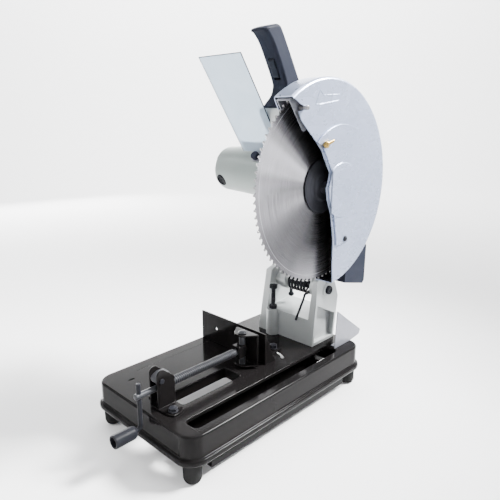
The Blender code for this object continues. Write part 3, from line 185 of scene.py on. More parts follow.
def slab(outer, low, high, holes=()):
    """A flat outline made solid between two levels."""
    bm = bmesh.new()
    bottom = [[bm.verts.new((u, v, low)) for u, v in loop] for loop in (outer, *holes)]
    top = [[bm.verts.new((u, v, high)) for u, v in loop] for loop in (outer, *holes)]
    for lower, upper in zip(bottom, top):
        link_rings(bm, lower, upper)
    fill_outline(bm, bottom)
    fill_outline(bm, top)
    return bm


def turned(profile, centre=(0.0, 0.0), steps=48, ring=False):
    """A body of revolution; the profile is a list of (place along the axis, radius)."""
    bm = bmesh.new()
    rings = []
    for along, radius in profile:
        if radius < 1e-6:
            rings.append([bm.verts.new((centre[0], centre[1], along))])
        else:
            rings.append([bm.verts.new((u, v, along)) for u, v in circle(centre, radius, steps)])
    for first, second in zip(rings, rings[1:]):
        link_rings(bm, first, second)
    if ring:
        link_rings(bm, rings[-1], rings[0])
    return bm


def hexagon(centre, across_flats):
    """The outline of a hexagon head."""
    return circle(centre, across_flats / 2.0 / cos(radians(30.0)), 6)


DIRECTIONS = {
    "X": Matrix(((0, 0, 1, 0), (1, 0, 0, 0), (0, 1, 0, 0), (0, 0, 0, 1))),
    "Y": Matrix(((1, 0, 0, 0), (0, 0, 1, 0), (0, 1, 0, 0), (0, 0, 0, 1))),
    "Z": Matrix.Identity(4),
}


def shape(name, bm, direction="Z"):
    """Make an object of a shape drawn across the given axis, in millimetres."""
    bm.transform(DIRECTIONS[direction])
    bm.transform(Matrix.Scale(MM, 4))
    bmesh.ops.recalc_face_normals(bm, faces=bm.faces)
    mesh = bpy.data.meshes.new(name)
    bm.to_mesh(mesh)
    bm.free()
    made = bpy.data.objects.new(name, mesh)
    bpy.context.scene.collection.objects.link(made)
    return made


def dress(made, material, body, replaced=(), bevel=0.0, segments=3, sharp=35.0):
    """Round the sharp edges, shade, give the material, and ride on the body."""
    mesh = made.data
    if bevel:
        bm = bmesh.new()
        bm.from_mesh(mesh)
        bmesh.ops.remove_doubles(bm, verts=bm.verts, dist=0.02 * MM)
        bmesh.ops.dissolve_limit(bm, angle_limit=radians(0.6), verts=bm.verts, edges=bm.edges)
        edges = [edge for edge in bm.edges
                 if len(edge.link_faces) == 2 and edge.calc_face_angle() > radians(sharp)]
        bmesh.ops.bevel(bm, geom=edges, offset=bevel * MM, segments=segments, profile=0.5,
                        affect="EDGES", clamp_overlap=False, miter_outer="ARC")
        bmesh.ops.triangulate(bm, faces=[face for face in bm.faces if len(face.verts) > 4])
        bm.to_mesh(mesh)
        bm.free()
    mesh.shade_smooth()
    mesh.set_sharp_from_angle(angle=radians(sharp))
    even = made.modifiers.new("even_shading", "WEIGHTED_NORMAL")
    even.keep_sharp = True
    even.weight = 80
    mesh.materials.clear()
    mesh.materials.append(material)
    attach(made, body)
    if replaced:
        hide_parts(*replaced)
    return made


def combine(target, operation, bm, direction="Z"):
    """DIFFERENCE, UNION or INTERSECT with a tool shape, applied at once."""
    tool = shape("tool", bm, direction)
    modifier = target.modifiers.new("combine", "BOOLEAN")
    modifier.operation = operation
    modifier.solver = "EXACT"
    modifier.object = tool
    evaluated = target.evaluated_get(bpy.context.evaluated_depsgraph_get())
    mesh = bpy.data.meshes.new_from_object(evaluated)
    target.modifiers.clear()
    old = target.data
    target.data = mesh
    bpy.data.meshes.remove(old)
    bpy.data.objects.remove(tool)
    mesh.name = target.name


# ---------------------------------------------------------------- materials

class Nodes:
    """A short way to write a node tree."""

    def __init__(self, name):
        self.material = bpy.data.materials.new(name)
        self.material.use_nodes = True
        self.tree = self.material.node_tree
        self.shader = self.tree.nodes["Principled BSDF"]
        self.place = self.add("ShaderNodeTexCoord").outputs["Object"]

    def add(self, kind, **values):
        node = self.tree.nodes.new(kind)
        for key, value in values.items():
            setattr(node, key, value)
        return node

    def link(self, source, socket):
        self.tree.links.new(source, socket)

    def round_arbor(self):
        """The object's X, its Y and Z from the arbor's axis, and the distance from that axis."""
        parts = self.add("ShaderNodeSeparateXYZ")
        self.link(self.place, parts.inputs["Vector"])
        across = self.math("SUBTRACT", parts.outputs["Y"], ARBOR[0] * MM)
        up = self.math("SUBTRACT", parts.outputs["Z"], ARBOR[1] * MM)
        squares = self.math("ADD", self.math("MULTIPLY", across, across),
                            self.math("MULTIPLY", up, up))
        return parts.outputs["X"], across, up, self.math("SQRT", squares)

    def noise(self, scale, detail=4.0, stretch=(1.0, 1.0, 1.0), distortion=0.0):
        mapping = self.add("ShaderNodeMapping")
        mapping.inputs["Scale"].default_value = stretch
        self.link(self.place, mapping.inputs["Vector"])
        noise = self.add("ShaderNodeTexNoise")
        noise.inputs["Scale"].default_value = scale
        noise.inputs["Detail"].default_value = detail
        noise.inputs["Distortion"].default_value = distortion
        self.link(mapping.outputs["Vector"], noise.inputs["Vector"])
        return noise.outputs["Fac"]

    def spread(self, source, low, high, start=0.3, end=0.7):
        node = self.add("ShaderNodeMapRange")
        node.inputs["From Min"].default_value = start
        node.inputs["From Max"].default_value = end
        node.inputs["To Min"].default_value = low
        node.inputs["To Max"].default_value = high
        self.link(source, node.inputs["Value"])
        return node.outputs["Result"]

    def math(self, operation, first, second=0.0):
        node = self.add("ShaderNodeMath", operation=operation)
        for socket, value in zip(node.inputs, (first, second)):
            if isinstance(value, (int, float)):
                socket.default_value = value
            else:
                self.link(value, socket)
        return node.outputs["Value"]

    def blend(self, factor, first, second):
        node = self.add("ShaderNodeMix", data_type="RGBA")
        sockets = (node.inputs["Factor"], node.inputs[6], node.inputs[7])
        for socket, value in zip(sockets, (factor, first, second)):
            if isinstance(value, tuple):
                socket.default_value = (*value, 1.0)
            elif isinstance(value, (int, float)):
                socket.default_value = value
            else:
                self.link(value, socket)
        return node.outputs[2]

    def times(self, first, second):
        node = self.add("ShaderNodeMix", data_type="RGBA", blend_type="MULTIPLY")
        node.inputs["Factor"].default_value = 1.0
        self.link(first, node.inputs[6])
        self.link(second, node.inputs[7])
        return node.outputs[2]

    def fan(self, source, stops):
        """A grey ramp over 0..1 with smooth steps between its stops."""
        node = self.add("ShaderNodeValToRGB")
        ramp = node.color_ramp
        ramp.interpolation = "EASE"
        for index, (place, grey) in enumerate(stops):
            element = ramp.elements[index] if index < 2 else ramp.elements.new(place)
            element.position = place
            element.color = (grey, grey, grey, 1.0)
        self.link(source, node.inputs["Fac"])
        return node.outputs["Color"]

    def edges(self, radius, low=0.02, high=0.12):
        """0 on flat stretches and 1 along edges."""
        bevel = self.add("ShaderNodeBevel", samples=4)
        bevel.inputs["Radius"].default_value = radius * MM
        geometry = self.add("ShaderNodeNewGeometry")
        dot = self.add("ShaderNodeVectorMath", operation="DOT_PRODUCT")
        self.link(bevel.outputs["Normal"], dot.inputs[0])
        self.link(geometry.outputs["Normal"], dot.inputs[1])
        return self.spread(self.math("SUBTRACT", 1.0, dot.outputs["Value"]), 0.0, 1.0, low, high)

    def bump(self, height, distance, strength=1.0, edge_radius=0.0):
        bump = self.add("ShaderNodeBump")
        bump.inputs["Strength"].default_value = strength
        bump.inputs["Distance"].default_value = distance * MM
        self.link(height, bump.inputs["Height"])
        if edge_radius:
            bevel = self.add("ShaderNodeBevel", samples=6)
            bevel.inputs["Radius"].default_value = edge_radius * MM
            self.link(bevel.outputs["Normal"], bump.inputs["Normal"])
        self.link(bump.outputs["Normal"], self.shader.inputs["Normal"])


def coat_nodes(name, colour, dark, wear, rough, metallic=0.0, grain=0.08, grain_scale=900.0,
               edge_radius=0.5, wear_amount=0.5, rough_spread=0.06, specular=0.5):
    """Paint, powder coat or plastic: soft patches, fine orange peel and rubbed edges."""
    nodes = Nodes(name)
    shader = nodes.shader
    patches = nodes.noise(9.0, 3.0)
    base = nodes.blend(nodes.spread(patches, 0.0, 1.0), colour, dark)
    scuffs = nodes.noise(160.0, 5.0, (1.0, 1.0, 1.0), 0.6)
    edge = nodes.math("MULTIPLY", nodes.edges(0.8),
                      nodes.spread(scuffs, 0.0, wear_amount, 0.4, 0.62))
    nodes.link(nodes.blend(edge, base, wear), shader.inputs["Base Color"])
    smears = nodes.noise(30.0, 5.0, (1.0, 1.0, 2.2), 0.4)
    nodes.link(nodes.spread(smears, rough - rough_spread, rough + rough_spread),
               shader.inputs["Roughness"])
    shader.inputs["Metallic"].default_value = metallic
    shader.inputs["Specular IOR Level"].default_value = specular
    nodes.bump(nodes.noise(grain_scale, 2.0), grain, 0.5, edge_radius)
    return nodes


def coated(name, *colours, **values):
    """The material of coat_nodes."""
    return coat_nodes(name, *colours, **values).material


def machined(name, colour, dark, rough, stretch=(1.0, 1.0, 1.0), scale=300.0, grain=0.02,
             edge_radius=0.3, metallic=1.0):
    """Bare or plated metal with turning or drawing marks along one axis."""
    nodes = Nodes(name)
    shader = nodes.shader
    marks = nodes.noise(scale, 6.0, stretch)
    stains = nodes.noise(25.0, 4.0)
    tone = nodes.math("MULTIPLY", marks, stains)
    stained = nodes.blend(nodes.spread(tone, 0.0, 1.0, 0.12, 0.4), dark, colour)
    nodes.link(stained, shader.inputs["Base Color"])
    nodes.link(nodes.spread(marks, rough - 0.08, rough + 0.12), shader.inputs["Roughness"])
    shader.inputs["Metallic"].default_value = metallic
    nodes.bump(marks, grain, 0.5, edge_radius)
    return nodes.material


def blade_steel():
    """Ground steel: concentric marks round the arbor, a line inside the teeth, and a painted radial
    highlight: bright and dark fans of painted reflection by angle round the arbor.
    """
    nodes = Nodes("blade_steel")
    shader = nodes.shader
    _, across, up, radius = nodes.round_arbor()
    angle = nodes.math("ARCTAN2", up, across)
    join = nodes.add("ShaderNodeCombineXYZ")
    nodes.link(nodes.math("MULTIPLY", radius, 2600.0), join.inputs["X"])
    nodes.link(nodes.math("MULTIPLY", angle, 1.5), join.inputs["Y"])
    rings = nodes.add("ShaderNodeTexNoise")
    rings.inputs["Scale"].default_value = 1.0
    rings.inputs["Detail"].default_value = 4.0
    nodes.link(join.outputs["Vector"], rings.inputs["Vector"])
    marks = rings.outputs["Fac"]
    stains = nodes.noise(14.0, 4.0)
    half_turns = nodes.math("DIVIDE", angle, pi)
    # Painted reflection: the colour is made bright and dark by angle round the arbor, in fans that
    # repeat every half turn, with one ramp near the hub and one near the teeth.
    painted_fan_start = 1.0 - 100.0 / 180.0
    turn = nodes.math("FRACT", nodes.math("ADD", half_turns, painted_fan_start))
    wobble = nodes.spread(marks, -0.006, 0.006, 0.2, 0.8)
    turn = nodes.math("FRACT", nodes.math("ADD", turn, wobble))
    inner_painted_reflection = nodes.fan(turn, ((0.0, 0.03), (0.15, 0.035), (0.195, 0.12), (0.24, 0.5), (0.28, 0.95),
                             (0.35, 0.75), (0.395, 0.36), (0.44, 0.22), (0.48, 0.19), (0.55, 0.25),
                             (0.66, 0.2), (0.76, 0.16), (0.83, 0.1), (0.9, 0.05), (0.96, 0.025),
                             (1.0, 0.03)))
    outer = nodes.fan(turn, ((0.0, 0.12), (0.06, 0.5), (0.13, 0.12), (0.17, 0.06), (0.2, 0.18),
                             (0.24, 0.58), (0.28, 0.98), (0.35, 0.8), (0.395, 0.38), (0.48, 0.2),
                             (0.55, 0.27), (0.66, 0.22), (0.76, 0.26), (0.83, 0.45), (0.9, 0.55),
                             (0.95, 0.16)))
    painted_reflection = nodes.blend(nodes.spread(radius, 0.0, 1.0, 0.105, 0.165), inner_painted_reflection, outer)
    mottle = nodes.spread(nodes.math("ADD", marks, stains), 0.0, 1.0, 0.7, 1.3)
    tone = nodes.blend(mottle, (0.66, 0.65, 0.69), (0.86, 0.85, 0.92))
    base = nodes.times(tone, painted_reflection)
    from_line = nodes.math("ABSOLUTE", nodes.math("SUBTRACT", radius, MARK_RADIUS * MM))
    line = nodes.math("LESS_THAN", from_line, 0.5 * MM)
    marked = nodes.blend(nodes.math("MULTIPLY", line, 0.5), base, (0.6, 0.6, 0.63))
    nodes.link(marked, shader.inputs["Base Color"])
    nodes.link(nodes.spread(marks, 0.2, 0.36), shader.inputs["Roughness"])
    shader.inputs["Metallic"].default_value = 1.0
    shader.inputs["Anisotropic"].default_value = 0.85
    tangent = nodes.add("ShaderNodeTangent", direction_type="RADIAL", axis="X")
    nodes.link(tangent.outputs["Tangent"], shader.inputs["Tangent"])
    nodes.bump(marks, 0.01, 0.4)
    return nodes.material


def clear_sheet():
    """Clear polycarbonate with a pale blue body, painted dark shade along its cut edges, and fine
    wiping marks.
    """
    nodes = Nodes("clear_sheet")
    shader = nodes.shader
    haze = nodes.noise(18.0, 5.0, (1.0, 1.0, 1.0), 1.0)
    body = nodes.blend(nodes.spread(haze, 0.0, 1.0), (0.50, 0.60, 0.70), (0.56, 0.66, 0.76))
    low, high = box("shield")
    parts = nodes.add("ShaderNodeSeparateXYZ")
    nodes.link(nodes.place, parts.inputs["Vector"])
    # Painted shade: the left, top and right edges of the sheet are near black and less clear, for
    # the dark look of a clear sheet's cut edges.
    left = nodes.math("LESS_THAN", parts.outputs["X"], (low.x + 1.1) * MM)
    top = nodes.math("GREATER_THAN", parts.outputs["Z"], (high.z - 1.6) * MM)
    right = nodes.math("GREATER_THAN", parts.outputs["X"], (high.x - 0.9) * MM)
    edge = nodes.math("MAXIMUM", nodes.math("MAXIMUM", left, top), right)
    nodes.link(nodes.blend(edge, body, (0.02, 0.022, 0.028)), shader.inputs["Base Color"])
    nodes.link(nodes.spread(haze, 0.06, 0.12), shader.inputs["Roughness"])
    nodes.link(nodes.spread(edge, 0.6, 0.1, 0.0, 1.0), shader.inputs["Transmission Weight"])
    shader.inputs["IOR"].default_value = 1.15
    nodes.bump(nodes.noise(240.0, 3.0, (1.0, 4.0, 4.0)), 0.01, 0.2)
    return nodes.material


def guard_paint():
    """Silver paint outside; near black inside the shell."""
    nodes = coat_nodes("guard_paint", (0.35, 0.40, 0.53), (0.315, 0.36, 0.485), (0.55, 0.6, 0.7),
                       0.28, 0.65, grain=0.05, grain_scale=1600.0, edge_radius=0.6, specular=0.2)
    low, high = box("upper_guard")
    skin = 2.1
    along, _, _, radius = nodes.round_arbor()
    # Near black inside the shell, within the skin of its walls and rim.
    inside = nodes.math("LESS_THAN", radius, (high.y - ARBOR[0] - skin) * MM)
    inside = nodes.math("MULTIPLY", inside, nodes.math("GREATER_THAN", along, (low.x + skin) * MM))
    inside = nodes.math("MULTIPLY", inside, nodes.math("LESS_THAN", along, (high.x - skin) * MM))
    colour = nodes.shader.inputs["Base Color"].links[0].from_socket
    nodes.link(nodes.blend(inside, colour, (0.008, 0.008, 0.01)), nodes.shader.inputs["Base Color"])
    return nodes.material


MATERIALS = {
    "gloss_black": coated("gloss_black", (0.0046, 0.0042, 0.0044), (0.0062, 0.0056, 0.0056),
                          (0.05, 0.048, 0.046), 0.13, grain=0.02, grain_scale=420.0,
                          rough_spread=0.04, specular=0.055, wear_amount=0.2),
    "silver_paint": coated("silver_paint", (0.37, 0.385, 0.385), (0.32, 0.335, 0.335),
                           (0.55, 0.55, 0.55), 0.36, 0.35, grain=0.1, grain_scale=1400.0,
                           edge_radius=0.8, specular=0.2),
    "guard_paint": guard_paint(),
    "motor_paint": coated("motor_paint", (0.235, 0.265, 0.255), (0.205, 0.235, 0.225),
                          (0.42, 0.43, 0.42), 0.34, 0.3, grain=0.08, grain_scale=1500.0,
                          specular=0.2),
    "rubber": coated("rubber", (0.012, 0.012, 0.012), (0.016, 0.016, 0.016), (0.03, 0.03, 0.03),
                     0.7, grain=0.2, grain_scale=700.0, specular=0.03),
    "black_steel": coated("black_steel", (0.014, 0.0145, 0.018), (0.010, 0.0105, 0.013),
                          (0.15, 0.15, 0.16), 0.36, grain=0.06, grain_scale=900.0, wear_amount=0.4,
                          specular=0.06),
    "dark_iron": coated("dark_iron", (0.04, 0.041, 0.045), (0.028, 0.029, 0.032),
                        (0.18, 0.18, 0.19), 0.38, 0.2, grain=0.05, grain_scale=800.0,
                        wear_amount=0.5, edge_radius=0.3, specular=0.1),
    "bare_steel": machined("bare_steel", (0.42, 0.42, 0.44), (0.26, 0.25, 0.24), 0.3),
    "blade_steel": blade_steel(),
    "brass": machined("brass", (0.62, 0.42, 0.11), (0.36, 0.23, 0.07), 0.3),
    "copper": machined("copper", (0.62, 0.3, 0.14), (0.36, 0.16, 0.07), 0.4),
    "grip_plastic": coated("grip_plastic", (0.019, 0.021, 0.030), (0.015, 0.017, 0.025),
                           (0.035, 0.038, 0.048), 0.55, grain=0.25, grain_scale=1100.0,
                           rough_spread=0.07, specular=0.03, wear_amount=0.3),
    "trigger_plastic": coated("trigger_plastic", (0.018, 0.020, 0.027), (0.014, 0.016, 0.022),
                              (0.045, 0.046, 0.055), 0.42, grain=0.06, grain_scale=1200.0,
                              specular=0.05, wear_amount=0.3),
    "clear_plastic": clear_sheet(),
    "zinc_sheet": machined("zinc_sheet", (0.25, 0.255, 0.29), (0.17, 0.175, 0.2), 0.4,
                           (1.0, 1.0, 6.0), 120.0, 0.02, 0.4, 0.4),
}


def dress_frame():
    """Give every CAD node the finish of its slot."""
    for part in frame["record"]["subparts"]:
        node = frame["nodes"][part["node"]]
        node.data.materials.clear()
        node.data.materials.append(MATERIALS[part["material_slot"]])
        node.data.shade_smooth()
        node.data.set_sharp_from_angle(angle=radians(35.0))


# ---------------------------------------------------------------- pieces

def finish(made, node, bevel=0.0, segments=3, sharp=35.0, slot=None):
    """Let a piece stand for one CAD node: the node's body, slot and finish."""
    slot = slot or SLOTS[node]
    return dress(made, MATERIALS[slot], frame["nodes"][node]["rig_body"], (node,), bevel,
                 segments, sharp)


def softened(node, bevel, segments=2, sharp=40.0, plain=()):
    """A copy of a CAD node with rounded edges; the radius shrinks until no corner strays."""
    source = bmesh.new()
    source.from_mesh(frame["nodes"][node].data)
    bmesh.ops.remove_doubles(source, verts=source.verts, dist=0.03 * MM)
    bmesh.ops.dissolve_limit(source, angle_limit=radians(0.6), verts=source.verts,
                             edges=source.edges)
    surface = BVHTree.FromBMesh(source)

    def is_rounded(edge):
        middle = (edge.verts[0].co + edge.verts[1].co) / 2.0 / MM
        if len(edge.link_faces) != 2 or edge.calc_face_angle() < radians(sharp):
            return False
        return all(hypot(middle.y - y, middle.z - z) > radius for y, z, radius in plain)

    mesh = bpy.data.meshes.new(node + "_soft")
    while True:
        bm = source.copy()
        bmesh.ops.bevel(bm, geom=[edge for edge in bm.edges if is_rounded(edge)], offset=bevel * MM,
                        segments=segments, profile=0.5, affect="EDGES", clamp_overlap=False,
                        miter_outer="ARC")
        stray = max(surface.find_nearest(vertex.co)[3] for vertex in bm.verts) / MM
        if stray < bevel * 0.5 + 0.02 or bevel < 0.12:
            break
        bm.free()
        bevel *= 0.7
    bmesh.ops.triangulate(bm, faces=[face for face in bm.faces if len(face.verts) > 4])
    bm.to_mesh(mesh)
    bm.free()
    source.free()
    made = bpy.data.objects.new(node + "_soft", mesh)
    bpy.context.scene.collection.objects.link(made)
    return finish(made, node, 0.0, segments, sharp)


def join_shapes(target, *others):
    """Add closed parts to one piece without cutting them into each other."""
    bm = bmesh.new()
    bm.from_mesh(target.data)
    for other in others:
        bm.from_mesh(other.data)
        bpy.data.objects.remove(other)
    bm.to_mesh(target.data)
    bm.free()


def bevel_where(made, test, offset, segments=5):
    """Round only the edges that pass a test on their middle point, in millimetres."""
    bm = bmesh.new()
    bm.from_mesh(made.data)
    edges = []
    for edge in bm.edges:
        middle = (edge.verts[0].co + edge.verts[1].co) / 2.0 / MM
        if len(edge.link_faces) == 2 and edge.calc_face_angle() > radians(50.0) and test(middle):
            edges.append(edge)
    bmesh.ops.bevel(bm, geom=edges, offset=offset * MM, segments=segments, profile=0.5,
                    affect="EDGES", clamp_overlap=False)
    bm.to_mesh(made.data)
    bm.free()


def smoothed(points, rounds=2):
    """Cut the corners of a closed outline, more with each round."""
    for _ in range(rounds):
        cut = []
        for first, second in zip(points, points[1:] + points[:1]):
            cut.append((first[0] * 0.75 + second[0] * 0.25, first[1] * 0.75 + second[1] * 0.25))
            cut.append((first[0] * 0.25 + second[0] * 0.75, first[1] * 0.25 + second[1] * 0.75))
        points = cut
    return points


def tube(name, points, radius, sides):
    """A round bar that follows a list of points, with flat ends."""
    places = [Vector(point) for point in points]
    bm = bmesh.new()
    rings = []
    across = None
    for index, place in enumerate(places):
        before = places[max(index - 1, 0)]
        after = places[min(index + 1, len(places) - 1)]
        along = (after - before).normalized()
        if across is None:
            across = along.orthogonal().normalized()
        across = (across - along * across.dot(along)).normalized()
        other = along.cross(across)
        rings.append([bm.verts.new(place + radius * (cos(2.0 * pi * side / sides) * across
                                                     + sin(2.0 * pi * side / sides) * other))
                      for side in range(sides)])
    for first, second in zip(rings, rings[1:]):
        link_rings(bm, first, second)
    bm.faces.new(rings[0])
    bm.faces.new(rings[-1])
    return shape(name, bm)


def make_blade():
    """The toothed disc, its carbide tips and the flange that clamps it."""
    low, high = box("blade")
    half = (high.x - low.x) / 2.0 - 0.2
    radius = (high.z - low.z) / 2.0
    pitch = 360.0 / BLADE_TEETH
    tooth = ((0.0, 1.0), (0.03, 2.6), (0.12, 4.2), (0.24, 5.3), (0.38, 5.6), (0.52, 5.0),
             (0.64, 3.4), (0.8, 1.9), (0.93, 1.0))
    outline = []
    for index in range(BLADE_TEETH):
        for share, depth in tooth:
            angle = radians((index + share) * pitch)
            outline.append((ARBOR[0] + (radius - depth) * cos(angle),
                            ARBOR[1] + (radius - depth) * sin(angle)))
    disc = shape("blade_disc", slab(outline, BLADE_X - half, BLADE_X + half, [circle(ARBOR, 12.9)]),
                 "X")
    finish(disc, "blade", 0.0)
    tips = []
    for index in range(BLADE_TEETH):
        angle = (index - 0.06) * pitch
        corners = []
        for turn, depth in ((0.3, 0.0), (0.26, 4.4), (-0.35, 4.0), (-0.75, 0.3)):
            place = radians(angle + turn)
            corners.append((ARBOR[0] + (radius - depth) * cos(place),
                            ARBOR[1] + (radius - depth) * sin(place)))
        tips.append(shape("tip", slab(corners, BLADE_X - half - 0.25, BLADE_X + half + 0.25), "X"))
    first = tips.pop(0)
    first.name = "carbide_tips"
    join_shapes(first, *tips)
    dress(first, MATERIALS["bare_steel"], "arbor")
    low, high = box("outer_flange")
    seat = low.x
    outer = [(seat, 40.0), (seat, 49.0), (seat + 0.8, 49.8), (seat + 1.6, 49.6), (seat + 2.2, 48.6),
             (seat + 2.6, 45.0), (seat + 3.0, 37.6), (seat + 3.4, 36.6), (seat + 3.8, 34.0),
             (seat + 3.9, 28.5), (seat + 4.6, 27.0), (seat + 5.8, 25.6), (seat + 6.3, 24.0),
             (high.x, 22.6), (high.x, 5.8), (seat, 5.8)]
    finish(shape("flange_ring", turned(outer, ARBOR, 96, ring=True), "X"), "outer_flange")
    softened("arbor_bolt", 0.8)


def make_upper_guard():
    """A two-walled shell with a rounded rim and a raised arrow; its paint turns near black inside.
    """
    low, high = box("upper_guard")
    radius = high.y - ARBOR[0]
    rim = arc(ARBOR, radius, *GUARD_ANGLES, 150)
    edge = [(27.5, 545.0), (40.7, 533.5), (62.1, 516.0), (84.0, 496.0), (105.4, 463.4),
            (111.4, 455.1), (107.0, 439.6), (102.4, 427.3), (106.5, 407.7), (120.0, 378.0),
            (129.8, 329.0), (131.0, 286.0)]
    guard = shape("guard_shell", slab(rim + edge[::-1], low.x, high.x), "X")
    bevel_where(guard, lambda place: hypot(place.y - ARBOR[0], place.z - ARBOR[1]) > radius - 1.0
                and (place.x < low.x + 0.1 or place.x > high.x - 0.1), 6.0, 6)
    inside = turned([(low.x + 2.5, 0.0), (low.x + 2.5, radius - 8.0), (low.x + 4.6, radius - 4.0),
                     (low.x + 9.0, radius - 2.5), (high.x - 9.0, radius - 2.5),
                     (high.x - 4.6, radius - 4.0), (high.x - 2.5, radius - 8.0),
                     (high.x - 2.5, 0.0)], ARBOR, 180)
    combine(guard, "DIFFERENCE", inside, "X")
    boss_room = [(60.0, ARBOR[1] + 34.0), (60.0, ARBOR[1] - 34.0)]
    boss_room += arc(ARBOR, 34.0, -90.0, 90.0, 24)
    combine(guard, "DIFFERENCE", slab(boss_room, low.x - 5.0, low.x + 6.0), "X")
    notch = [(0.0, 552.0), (22.0, 560.0)] + arc(PIN_NOTCH, 4.6, -60.0, 120.0, 12) + [(8.0, 580.0)]
    combine(guard, "DIFFERENCE", slab(notch, high.x - 6.0, high.x + 6.0), "X")
    finish(guard, "upper_guard", 0.0, sharp=32.0)
    marks = []
    head = [(129.0, 589.0), (84.0, 586.5), (75.0, 595.0), (63.5, 571.0), (75.0, 571.5),
            (129.0, 579.0)]
    for first, second in zip(head, head[1:]):
        marks.append(tube("mark", [(high.x - 0.1, *first), (high.x - 0.1, *second)], 0.8, 10))
    arrow = marks.pop(0)
    arrow.name = "guard_arrow"
    join_shapes(arrow, *marks)
    dress(arrow, MATERIALS["guard_paint"], "head")


def make_guard_cover():
    """The raised arbor cover, with a stepped edge and a rounded boss."""
    low, high = box("guard_cover")
    edge = [(136.5, 330.0), (125.5, 380.0), (111.0, 408.5), (106.5, 428.0), (111.0, 440.0),
            (115.0, 457.0), (108.0, 467.0), (87.5, 499.0)]
    outline = arc(COVER_CENTRE, COVER_RADIUS, 133.0, -94.0, 110) + edge
    cover = shape("cover_plate", slab(outline, low.x, low.x + 3.0), "X")
    boss = [(max(y, 114.5), z) for y, z in circle(COVER_BOSS, COVER_BOSS_RADIUS, 96)]
    combine(cover, "UNION", slab(boss, low.x + 1.0, high.x), "X")
    lean = radians(22.5)
    slot = []
    for along, across in ((0.0, -4.0), (30.0, -4.0), (30.0, 4.0), (0.0, 4.0)):
        slot.append((WING_SCREW[0] - along * cos(lean) + across * sin(lean),
                     WING_SCREW[1] - along * sin(lean) - across * cos(lean)))
    combine(cover, "DIFFERENCE", slab(slot, low.x - 3.0, high.x + 5.0), "X")
    combine(cover, "DIFFERENCE", slab(circle(WING_SCREW, 4.0), low.x - 3.0, high.x + 5.0), "X")
    combine(cover, "DIFFERENCE", slab(circle(COVER_SCREW, 2.9, 24), low.x - 3.0, high.x + 5.0), "X")
    finish(cover, "guard_cover", 0.9, 3)
    low, high = box("cover_screw")
    top = low.x + 3.3
    screw = shape("cover_screw_head", turned([(top, 0.0), (top, 5.4), (top + 0.8, 5.5),
                                              (top + 2.2, 4.8), (high.x, 3.0),
                                              (high.x, 0.0)], COVER_SCREW), "X")
    combine(screw, "DIFFERENCE", slab(hexagon(COVER_SCREW, 3.4), top + 1.4, high.x + 2.0), "X")
    finish(screw, "cover_screw", 0.0)
    softened("wing_screw", 0.7)


def base_ring(bm, offset, z, steps=10):
    """One level of the pan's outline."""
    half_x, half_y = PAN_HALF_X + offset, PAN_HALF_Y + offset
    corner = max(PAN_CORNER + offset, 2.0)
    outline = rounded_rectangle(-half_x, half_x, -half_y, half_y, corner, steps)
    return [bm.verts.new((x, y, z)) for x, y in outline]


def make_base_pan():
    """The pressed pan: rolled lip, rounded shoulders, formed slot edges and a scribed line."""
    under = BASE_TOP - PAN_SHEET
    rim = [(-3.5, BASE_TOP), (-2.2, BASE_TOP - 0.25), (-1.1, BASE_TOP - 1.0),
           (-0.3, BASE_TOP - 2.1), (0.0, BASE_TOP - 3.4)]
    rim += [(0.0, 49.4), (0.4, 48.3), (1.4, 47.6), (3.6, 47.2), (4.9, 46.2), (5.6, 44.4),
            (5.6, 40.2), (5.0, 38.2), (3.8, 36.7), (2.0, 36.0), (-27.0, 36.0), (-27.0, 38.5),
            (-3.0, 38.5), (-3.0, 82.0), (-5.5, under)]
    formed = ((rounded_rectangle(*VISE_OPENING, 5.0, 8), 20.0, 2.2),
              (rounded_rectangle(*BLADE_SLOT, 10.3, 12), 6.0, 1.6))
    punched = (curved(FENCE_PIVOT, MITRE_RADIUS, 3.6, 46.0, 99.0), circle(FENCE_PIVOT, 4.4, 24),
               rounded_rectangle(-88.0, -83.0, -196.0, -182.0, 2.4, 5))
    bm = bmesh.new()
    loops = [base_ring(bm, offset, z) for offset, z in rim]
    for first, second in zip(loops, loops[1:]):
        link_rings(bm, first, second)
    top_loops, under_loops = [loops[0]], [loops[-1]]
    for outline in punched:
        top_loops.append([bm.verts.new((x, y, BASE_TOP)) for x, y in outline])
        under_loops.append([bm.verts.new((x, y, under)) for x, y in outline])
        link_rings(bm, top_loops[-1], under_loops[-1])
    for outline, depth, lip in formed:
        levels = [(lip, BASE_TOP), (lip * 0.55, BASE_TOP - lip * 0.1),
                  (lip * 0.2, BASE_TOP - lip * 0.4), (0.0, BASE_TOP - lip), (0.0, BASE_TOP - depth),
                  (2.0, BASE_TOP - depth), (2.0, under)]
        rings = []
        for offset, z in levels:
            rings.append([bm.verts.new((x, y, z)) for x, y in grown(outline, offset)])
        for first, second in zip(rings, rings[1:]):
            link_rings(bm, first, second)
        top_loops.append(rings[0])
        under_loops.append(rings[-1])
    fill_outline(bm, top_loops)
    fill_outline(bm, under_loops)
    pan = shape("pan", bm)
    groove = rectangle(LINE_X - 0.45, LINE_X + 0.45, BASE_TOP - 0.5, BASE_TOP + 1.0)
    combine(pan, "DIFFERENCE", slab(groove, -165.0, 19.0), "Y")
    rib_end = PAN_HALF_Y - 2.7
    combine(pan, "UNION", slab(rectangle(62.0, 64.0, -rib_end, rib_end), 40.0, BASE_TOP - 2.5))
    rail_low, rail_high = box("chip_tray")
    for end, inward in ((rail_low.y - 3.5, 1.0), (rail_high.y + 3.5, -1.0)):
        rail = [(end, 36.4), (end, 28.2), (end + 6.5 * inward, 28.2), (end + 6.5 * inward, 29.7),
                (end + 1.5 * inward, 29.7), (end + 1.5 * inward, 36.4)]
        combine(pan, "UNION", slab(rail, rail_low.x + 4.0, 131.0), "X")
    finish(pan, "base_pan", 0.0, sharp=50.0)


